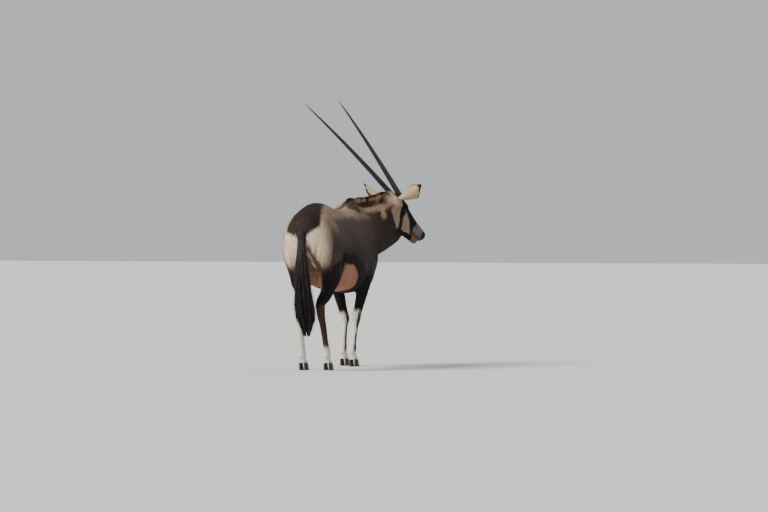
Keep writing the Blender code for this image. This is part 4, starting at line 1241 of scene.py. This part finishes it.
# %% [markdown]
# ## Ears
#
# An ear is a leaf of skin, rolled into a tube at its root and open towards its tip. We start from a
# flat grid, bend it by the same leaf and curl rules as the solids, give it a wall with Solidify
# and round it with a subdivision. Short tufts grow on its back, and long pale hairs inside it.

# %% The two ears
EAR_LENGTH, EAR_WIDTH, EAR_WALL = 0.214, 0.102, 0.0036
EAR_AIMS = {
    "left": ((0.700, -0.760, 0.250), (0.450, 0.220, -0.750)),
    "right": ((-0.764, -0.016, 0.645), (0.760, 0.460, 0.440)),
}


def ear_frame(side):
    """Ear coordinates to world: X across the leaf, Y along it, Z out of its back."""
    along, opening = (Vector(v) for v in EAR_AIMS[side])
    along.normalize()
    back = -(opening - along * opening.dot(along)).normalized()
    turn = Matrix((along.cross(back), along, back)).transposed().to_4x4()
    turn.translation = Vector((0.064 * HANDS[side], 0.038, -0.062)) + along * 0.010
    return HEAD @ turn


def ear_places(across, share):
    """Ear coordinates of places across (-1 to 1) and along (0 to 1) the leaf."""
    leaf = np.sin(np.pi * np.minimum(1, share * 0.90 + 0.10) ** 1.15) ** 0.62
    leaf = leaf * (1 - 0.45 * ease(0.62, 0.95, share))
    least = np.where(share < 0.6, 0.019 * np.sqrt(1 - share), 0.0015)
    half = np.maximum(EAR_WIDTH / 2 * leaf, least)
    curl = 2.75 * (1 - share) ** 1.6 + 1.05 * (1 - 0.45 * share)
    radius = 2 * half / np.maximum(curl, 0.6) / 1.35
    bend = curl * across
    drop = radius * (1 - np.cos(bend)) + 0.10 * EAR_LENGTH * share**2
    sideways = radius * np.sin(bend) - 0.016 * np.sin(np.pi * share)
    return np.column_stack([sideways, EAR_LENGTH * share, -drop])


def ear_colour(across, share, inside):
    colour = np.tile(EAR_TAN, (len(across), 1))
    lay(colour, CREAM, 0.5 * inside * ease(0.2, 0.5, share))
    lay(colour, tone(120, 88, 72), 0.75 * inside * ease(0.55, 0.15, share))
    edge = ease(0.72, 0.88, np.abs(across) + 0.03 * np.sin(share * 40))
    lay(colour, BLACK, edge * ease(0.25, 0.45, share))
    lay(colour, BLACK, ease(0.83, 0.91, share + 0.02 * np.sin(across * 9) + 0.08 * np.abs(across)))
    lay(colour, DARK_BROWN, 0.6 * (1 - inside) * ease(0.16, 0.02, share))
    return colour


def ear(side):
    obj = new_shape("grid", x_subdivisions=14, y_subdivisions=22, size=2)
    obj.name = "ear_skin_" + side
    flat = points_of(obj)
    across, share = flat[:, 0], np.minimum((flat[:, 1] + 1) / 2, 0.995)
    matrix = ear_frame(side)
    move_points(obj, in_world(matrix, ear_places(across, share)))
    marks = obj.data.attributes.new("leaf", "FLOAT_VECTOR", "POINT")
    leaf = np.column_stack([across, share, np.zeros(len(share))])
    marks.data.foreach_set("vector", leaf.astype(np.float32).ravel())
    apply_modifier(obj, "SOLIDIFY", thickness=EAR_WALL, offset=0, use_even_offset=True)
    apply_modifier(obj, "SUBSURF", levels=1, render_levels=1)
    faced_outward(obj)
    leaf = numbers(obj.data.attributes["leaf"].data, "vector")
    local = (points_of(obj) - np.array(matrix.translation)) @ np.array(matrix.to_3x3())
    middle = ear_places(leaf[:, 0], leaf[:, 1])
    centre = middle * (0, 1, 0) - (0, 0, 0.03)
    inside = np.linalg.norm(local - centre, axis=1) < np.linalg.norm(middle - centre, axis=1)
    inside = inside.astype(float)
    give_colour(obj, ear_colour(leaf[:, 0], leaf[:, 1], inside))
    hair_map(obj, (0.45 if side == "left" else 0.48, 0.490), 0.02)
    obj.data.shade_smooth()
    return obj


def ear_tufts(side):
    """Short hair over the back of the ear and long pale hair in its cup."""
    draw = np.random.default_rng(8)
    matrix = ear_frame(side)
    count = 4200
    across, share = draw.uniform(-0.98, 0.98, count), draw.uniform(0.02, 0.985, count) ** 0.9
    inner = draw.random(count) < 0.40
    root = ear_places(across, share)
    wide = ear_places(across + 0.02, share) - root
    along = ear_places(across, share + 0.01) - root
    normal = unit(np.cross(wide, along)) * np.where(inner, -1.0, 1.0)[:, None]
    along = unit(along)
    edgeward = unit(np.sign(across)[:, None] * wide)
    long_inside = inner * ease(0.15, 0.35, share) * ease(0.95, 0.7, share)
    length = 0.009 + 0.014 * long_inside * draw.random(count)
    lie = unit(along + edgeward * (0.2 - 0.9 * long_inside)[:, None])
    root = root + normal * 0.0014
    tilt = normal * (length * (0.12 + 0.25 * long_inside))[:, None]
    steps = [root, root + lie * (length * 0.5)[:, None] + tilt, root + lie * length[:, None] + tilt]
    paths = np.stack([in_world(matrix, s) for s in steps], axis=1)
    turn = np.array(matrix.to_3x3())
    colours = ear_colour(across, share, inner.astype(float))
    lay(colours, WHITE, 0.6 * long_inside)
    colours *= draw.uniform(0.9, 1.1, count)[:, None]
    start = 0.45 if side == "left" else 0.48
    flat = np.column_stack([start + 0.02 * share, 0.490 + 0.01 * (across + 1)])
    side_way = np.cross(lie, normal) @ turn.T
    return strands("ear_hair_" + side, TUFT, paths, side_way, normal @ turn.T, length * 0.075,
                   length * 0.03, np.array((0.75, 1.0, 0.0)), colours, flat, flat_lit=True)


ears = {side: (ear(side), ear_tufts(side)) for side in EAR_AIMS}
print("ears:", [len(ears[s][0].data.polygons) for s in ears], "faces")

# %% [markdown]
# ## Eyes
#
# A gemsbok's eye is large, dark and wet, with a wide level pupil. A sphere gets a slightly raised
# cornea where it looks out between the lids. Colours are written to its corners: a brown iris and
# a black pupil, and the material lays a clear coat over them. Lashes grow from the upper lid.

# %% Eyeballs and lashes
CORNEA = 0.035
LASHES, LASH_LENGTH, LASH_WIDTH = 46, 0.011, 0.00045


def eyeball(side):
    hand = HANDS[side]
    centre = HEAD @ Vector((EYE_SIDE * hand, EYE_ALONG, EYE_OUT))
    obj = new_shape("uv_sphere", segments=48, ring_count=32, radius=EYE_RADIUS, location=centre)
    obj.name = "eyeball_" + side
    points = points_of(obj)
    offset = (points - np.array(centre)) @ HEAD_ROTATION
    gaze = np.array((hand * 0.93, 0.25, 0.20))
    gaze /= np.linalg.norm(gaze)
    facing = offset @ gaze / EYE_RADIUS
    offset *= (1 + CORNEA * ease(0.80, 1.0, facing))[:, None]
    move_points(obj, offset @ HEAD_ROTATION.T + np.array(centre))
    faced_outward(obj)
    colour = np.tile(tone(38, 24, 18), (len(points), 1))
    lay(colour, tone(16, 11, 10), ease(0.62, 0.50, facing))
    flat_offset = offset - facing[:, None] * gaze * EYE_RADIUS
    level = np.abs(flat_offset @ np.array((0, 0.9, 0.2)))
    upright = np.abs(flat_offset @ np.array((0, -0.2, 0.9)))
    pupil = ease(1.1, 0.9, np.hypot(level / 0.0085, upright / 0.0050))
    lay(colour, tone(4, 4, 5), pupil * (facing > 0))
    give_colour(obj, colour)
    obj.data.shade_smooth()
    return obj


def lashes(side):
    """A row of fine lashes along the upper lid, longest in its middle."""
    hand = HANDS[side]
    draw = np.random.default_rng(9)
    angle = np.linspace(0.12, 0.88, LASHES) * math.pi
    along, over = 0.0200 * np.cos(angle), 0.0135 * np.sin(angle)
    reach = EYE_RADIUS + 0.0035
    depth = np.sqrt(np.maximum(reach**2 - along**2 - over**2, 1e-6))
    root = np.column_stack([hand * (EYE_SIDE + depth), EYE_ALONG + along, EYE_OUT + over])
    length = LASH_LENGTH * np.sin(angle) ** 0.6 * draw.uniform(0.8, 1.15, LASHES)
    steps, flat = [], np.ones(LASHES)
    for t in RINGS:
        rise = -0.25 * t + 0.45 * t * t
        away = np.column_stack([flat * hand * 0.85 * t, np.cos(angle) * 0.5 * t, flat * rise])
        steps.append(in_world(HEAD, root + away * length[:, None]))
    across, over_way, colours, patch = (
        np.tile(row, (LASHES, 1))
        for row in (HEAD_ROTATION[:, 1], HEAD_ROTATION[:, 2], BLACK, (0.52 + 0.005 * hand, 0.50))
    )
    profile = np.array((1.0, 1.0, 0.9, 0.75, 0.55, 0.3, 0.0))
    thin = np.full(LASHES, LASH_WIDTH)
    return strands("lashes_" + side, LONG, np.stack(steps, axis=1), across, over_way, thin, thin,
                   profile, colours, patch)


eyes = {side: (eyeball(side), lashes(side)) for side in HANDS}
print("eyes:", [len(pair[0].data.polygons) for pair in eyes.values()], "faces each")

# %% [markdown]
# ## Horns
#
# The horns are long cones of keratin, ringed over the lower half and smooth above. Rings are real
# relief, so they go into the mesh: the radius of the tube rises and dips along its length, a little
# unevenly.

# %% The two horns
HORN_LENGTH, HORN_SPLAY, HORN_BOW, HORN_RADIUS, RINGED = 0.987, 0.176, 0.012, 0.020, 0.56
HORN_ROWS, RIDGE_HEIGHT = 300, 0.085


def horn_line(base, direction, share):
    """Head coordinates along a horn's middle. Below 0 its root dives into the skull."""
    centres = base + share[:, None] * direction
    centres[:, 2] += HORN_BOW * 4 * share * (1 - share) - 14 * np.maximum(0.012 - share, 0) ** 2
    return centres


def horn_radius(share):
    return HORN_RADIUS * (1 - np.clip(share, 0, 1)) ** 0.72 + 0.0012


def horn(side):
    hand = HANDS[side]
    share = np.linspace(-0.045, 1, HORN_ROWS)
    base = np.array((HORN_SIDE * hand, HORN_ALONG, 0))
    direction = np.array((HORN_SPLAY * hand, -math.sqrt(HORN_LENGTH**2 - HORN_SPLAY**2), 0))
    centres = horn_line(base, direction, share)
    radius = horn_radius(share)
    radius[-1] = 0.0004
    draw = np.random.default_rng(12 if side == "left" else 13)
    pace = np.interp(share, [0, 0.1, 0.3, RINGED, 1], [0.0145, 0.0165, 0.0215, 0.027, 0.027])
    unevenness = np.interp(share, np.linspace(0, 1, 40), draw.normal(size=40))
    phase = np.cumsum(np.gradient(share) / (pace / HORN_LENGTH)) + 0.10 * unevenness
    ridge = (0.5 + 0.5 * np.cos(phase * math.tau)) ** 1.6
    fade = ease(-0.01, 0.02, share) * ease(RINGED + 0.04, RINGED - 0.10, share)
    world = in_world(HEAD, centres)
    sides = np.tile(HEAD_ROTATION[:, 0], (HORN_ROWS, 1))
    overs = unit(np.cross(np.gradient(world, axis=0), sides))
    bump = 1 + RIDGE_HEIGHT * fade * (ridge - 0.45)
    wide, thick = radius * 0.94 * bump, radius * 1.06 * bump
    obj = tube("horn_shell_" + side, world, sides, overs, wide, thick, 40)
    points = points_of(obj)
    local = head_numbers(points)
    where = (local - base) @ direction / HORN_LENGTH**2
    spread = np.clip(where, share[0], 1)
    gap = np.linalg.norm(local - horn_line(base, direction, spread), axis=1)
    height = gap / horn_radius(spread)
    colour = np.tile(tone(34, 30, 28), (len(points), 1))
    lay(colour, tone(66, 57, 45), 0.7 * ease(0.16, 0.0, where))
    worn = ease(1.00, 1.06, height) * ease(RINGED, RINGED - 0.2, where)
    lay(colour, tone(66, 58, 50), 0.7 * worn)
    lay(colour, tone(12, 11, 11), ease(0.6, 0.9, where) * 0.8)
    colour *= (1 + 0.18 * wobble(points * (1, 1, 0.25), 0.05, 21))[:, None]
    give_colour(obj, colour)
    return obj


horns = {side: horn(side) for side in HANDS}
print("horns:", [len(horns[s].data.polygons) for s in horns], "faces each")

# %% [markdown]
# ## Hooves
#
# Each foot ends in two pointed claws. The solids have their shape, so we melt a copy of each with
# a fine remesh, smooth it, and press fine growth rings into the wall.
# The sole stays flat, because it carries the animal.

# %% The eight claws
HOOF_NODES = [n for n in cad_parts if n.startswith("hoof_")]
HOOF_CELL, GROWTH, RING_DEPTH = 0.0021, 1500, 0.00022


def hoof(node):
    obj = remeshed("claw_" + node[5:], [node], HOOF_CELL)
    largest_part(obj)
    points = points_of(obj)
    floor_level = points[:, 2].min()
    height = points[:, 2] - floor_level
    smoothed(obj, 7, ease(0.001, 0.006, height))
    points, normals = points_of(obj), normals_of(obj)
    height = points[:, 2] - floor_level
    wall = (np.abs(normals[:, 2]) < 0.8) * ease(0.003, 0.010, height)
    wave = np.sin(height * GROWTH + 3 * wobble(points, 0.06, 31)) * RING_DEPTH
    points += normals * (wave * wall - 0.0004)[:, None]
    points[:, 2] = np.maximum(points[:, 2], 0.0)
    points[:, 2][height < 0.0012] = 0.0
    move_points(obj, points)
    colour = np.tile(tone(52, 46, 42), (len(points), 1))
    lay(colour, tone(92, 82, 72), 0.7 * ease(0.012, 0.002, height))
    lay(colour, tone(30, 26, 24), 0.7 * ease(0.030, 0.046, height))
    colour *= (1 + 0.20 * wobble(points * (1, 1, 0.3), 0.018, 32))[:, None]
    give_colour(obj, colour)
    obj.data.shade_smooth()
    return obj


claws = {node: hoof(node) for node in HOOF_NODES}
print("claws:", sum(len(c.data.polygons) for c in claws.values()), "faces")

# %% [markdown]
# ## Materials
#
# Every material starts from the colours that we painted on the corners, called "coat", and adds
# what is too fine to model: broken colour from noise, a grain in the bump and a little change of
# gloss. Hair is dull with a soft sheen, horn and hoof are satin, and the eye is glass-smooth.


# %% One recipe, many finishes
def finish(name, roughness, grain_size, grain_depth, stretch=(1, 1, 1), mottle=0.12,
           gloss_change=0.10, **extra):
    """A material that shows the painted colours, broken up by noise on Object coordinates."""
    material = bpy.data.materials.new(name)
    material.use_nodes = True
    nodes, links = material.node_tree.nodes, material.node_tree.links

    def setup(node, values):
        for socket, value in values.items():
            node.inputs[socket.replace("_", " ")].default_value = value
        return node

    def add(kind, **values):
        return setup(nodes.new("ShaderNode" + kind), values)

    def link(source, output, target, socket):
        links.new(source.outputs[output], target.inputs[socket])

    shader = setup(nodes["Principled BSDF"], extra)
    painted, place = add("Attribute"), add("TexCoord")
    painted.attribute_name = "coat"
    mapping = add("Mapping", Scale=stretch)
    link(place, "Object", mapping, "Vector")
    grain = add("TexNoise", Scale=1 / grain_size, Detail=3)
    link(mapping, "Vector", grain, "Vector")
    patches = add("TexNoise", Scale=22, Detail=5)
    link(place, "Object", patches, "Vector")
    brighten = add("MapRange", From_Min=0.25, From_Max=0.75, To_Min=1 - mottle, To_Max=1 + mottle)
    link(patches, "Fac", brighten, "Value")
    broken = add("VectorMath")
    broken.operation = "SCALE"
    link(painted, "Color", broken, 0)
    link(brighten, "Result", broken, "Scale")
    link(broken, "Vector", shader, "Base Color")
    dullest, glossiest = min(roughness + gloss_change, 1.0), max(roughness - gloss_change, 0.02)
    gloss = add("MapRange", To_Min=glossiest, To_Max=dullest)
    link(grain, "Fac", gloss, "Value")
    link(gloss, "Result", shader, "Roughness")
    if grain_depth:
        bump = add("Bump", Distance=grain_depth, Strength=0.7)
        link(grain, "Fac", bump, "Height")
        link(bump, "Normal", shader, "Normal")
    return material


# roughness, grain size, grain depth and what differs from the recipe
FINISHES = {
    "skin_hide": (0.85, 0.0035, 0.0012, dict(stretch=(1, 0.5, 0.4), mottle=0.14,
                                             Specular_IOR_Level=0.25)),
    "short_hair": (0.74, 0.004, 0, dict(Specular_IOR_Level=0.25)),
    "long_hair": (0.52, 0.006, 0, dict(mottle=0.25, Specular_IOR_Level=0.30)),
    "ear_skin": (0.75, 0.003, 0.0006, dict(mottle=0.10)),
    "horn_keratin": (0.42, 0.0016, 0.0005, dict(stretch=(1, 1, 0.08), mottle=0.18)),
    "hoof_keratin": (0.52, 0.0020, 0.0005, dict(stretch=(1, 1, 0.25), mottle=0.20)),
    "wet_eye": (0.13, 0.004, 0, dict(mottle=0.20, gloss_change=0.03, Coat_Weight=0.08,
                                     Coat_Roughness=0.02, Specular_IOR_Level=0.22)),
}
materials = {name: finish(name, *row[:3], **row[3]) for name, row in FINISHES.items()}


def dress(obj, look, slot, *nodes):
    """Gives a piece its material and body, and hides the solids that it replaces. The slot is not
    used.
    """
    obj.data.materials.clear()
    obj.data.materials.append(materials[look])
    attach(obj, "root")
    if nodes:
        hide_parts(*nodes)


dress(skin, "skin_hide", "coat", *FLESH)
for piece in coat_pieces:
    on_leg = "hind" in piece.name or "front" in piece.name
    dress(piece, "short_hair", "leg_coat" if on_leg else "coat")
dress(mane_piece, "long_hair", "hair")
dress(dock_piece, "short_hair", "hair", "tail")
dress(tail_piece, "long_hair", "hair")
for side in HANDS:
    dress(ears[side][0], "ear_skin", "ear_coat", "ear_" + side)
    dress(ears[side][1], "short_hair", "ear_coat")
    dress(eyes[side][0], "wet_eye", "eye", "eye_" + side)
    dress(eyes[side][1], "long_hair", "hair")
    dress(horns[side], "horn_keratin", "horn", "horn_" + side)
for node, piece in claws.items():
    dress(piece, "hoof_keratin", "hoof", node)

# %% [markdown]
# ## Camera, floor and light
#
# The photograph looks at the animal's right side from a little behind, through a long lens, so the
# camera stands far off with a narrow view. The floor is plain and pale. A soft key light comes from
# the left, high up, as in the photograph: it catches the rump, the withers and the neck, and the
# near flank stays in gentle shade.

# %% Camera
SENSOR = 36.0
CAMERA_AZIMUTH, CAMERA_ELEVATION = math.radians(200), math.radians(0.6)
CAMERA_DISTANCE = 30.0
FRAME_WIDTH = 5.565
VIEW_RIGHT, VIEW_HEIGHT = 0.3775, 0.812

right = Vector((math.cos(CAMERA_AZIMUTH), math.sin(CAMERA_AZIMUTH), 0))
away = Vector((-math.sin(CAMERA_AZIMUTH), math.cos(CAMERA_AZIMUTH), 0))
target = Vector(at(0, 0, VIEW_HEIGHT)) + right * VIEW_RIGHT
camera_data = bpy.data.cameras.new("camera")
camera = placed("camera", camera_data)
line_of_sight = away * math.cos(CAMERA_ELEVATION) - UP * math.sin(CAMERA_ELEVATION)
camera.location = target - line_of_sight * CAMERA_DISTANCE
camera.rotation_euler = line_of_sight.to_track_quat("-Z", "Y").to_euler()
camera_data.sensor_width = SENSOR
camera_data.lens = SENSOR * CAMERA_DISTANCE / FRAME_WIDTH
camera_data.clip_end = 200
bpy.context.scene.camera = camera
print("camera lens", round(camera_data.lens, 1), "mm, height", round(camera.location.z, 3))

# %% Floor and lamps
FLOOR_SIZE = 120
SKY_COLOUR, SKY_STRENGTH = (0.86, 0.88, 0.90, 1), 0.66
floor = new_shape("plane", size=FLOOR_SIZE)
floor.name = "floor"
paint = bpy.data.materials.new("pale_floor")
paint.use_nodes = True
shader = paint.node_tree.nodes["Principled BSDF"]
shader.inputs["Base Color"].default_value = (0.60, 0.59, 0.575, 1)
shader.inputs["Roughness"].default_value = 0.95
floor.data.materials.append(paint)


def studio_sun(name, from_where, softness, strength):
    """A soft lamp so far off that it lights floor and animal evenly."""
    data = bpy.data.lights.new(name, "SUN")
    data.angle = math.radians(softness)
    data.energy = strength
    lamp = placed(name, data)
    lamp.rotation_euler = (-from_where).to_track_quat("-Z", "Y").to_euler()


studio_sun("key", -right * 0.70 - away * 0.30 + UP * 0.64, 26, 4.8)
studio_sun("rim", right * 0.50 + away * 0.80 + UP * 0.60, 40, 0.5)
world = bpy.data.worlds.new("studio")
world.use_nodes = True
sky = world.node_tree.nodes["Background"].inputs
sky["Color"].default_value, sky["Strength"].default_value = SKY_COLOUR, SKY_STRENGTH
bpy.context.scene.world = world
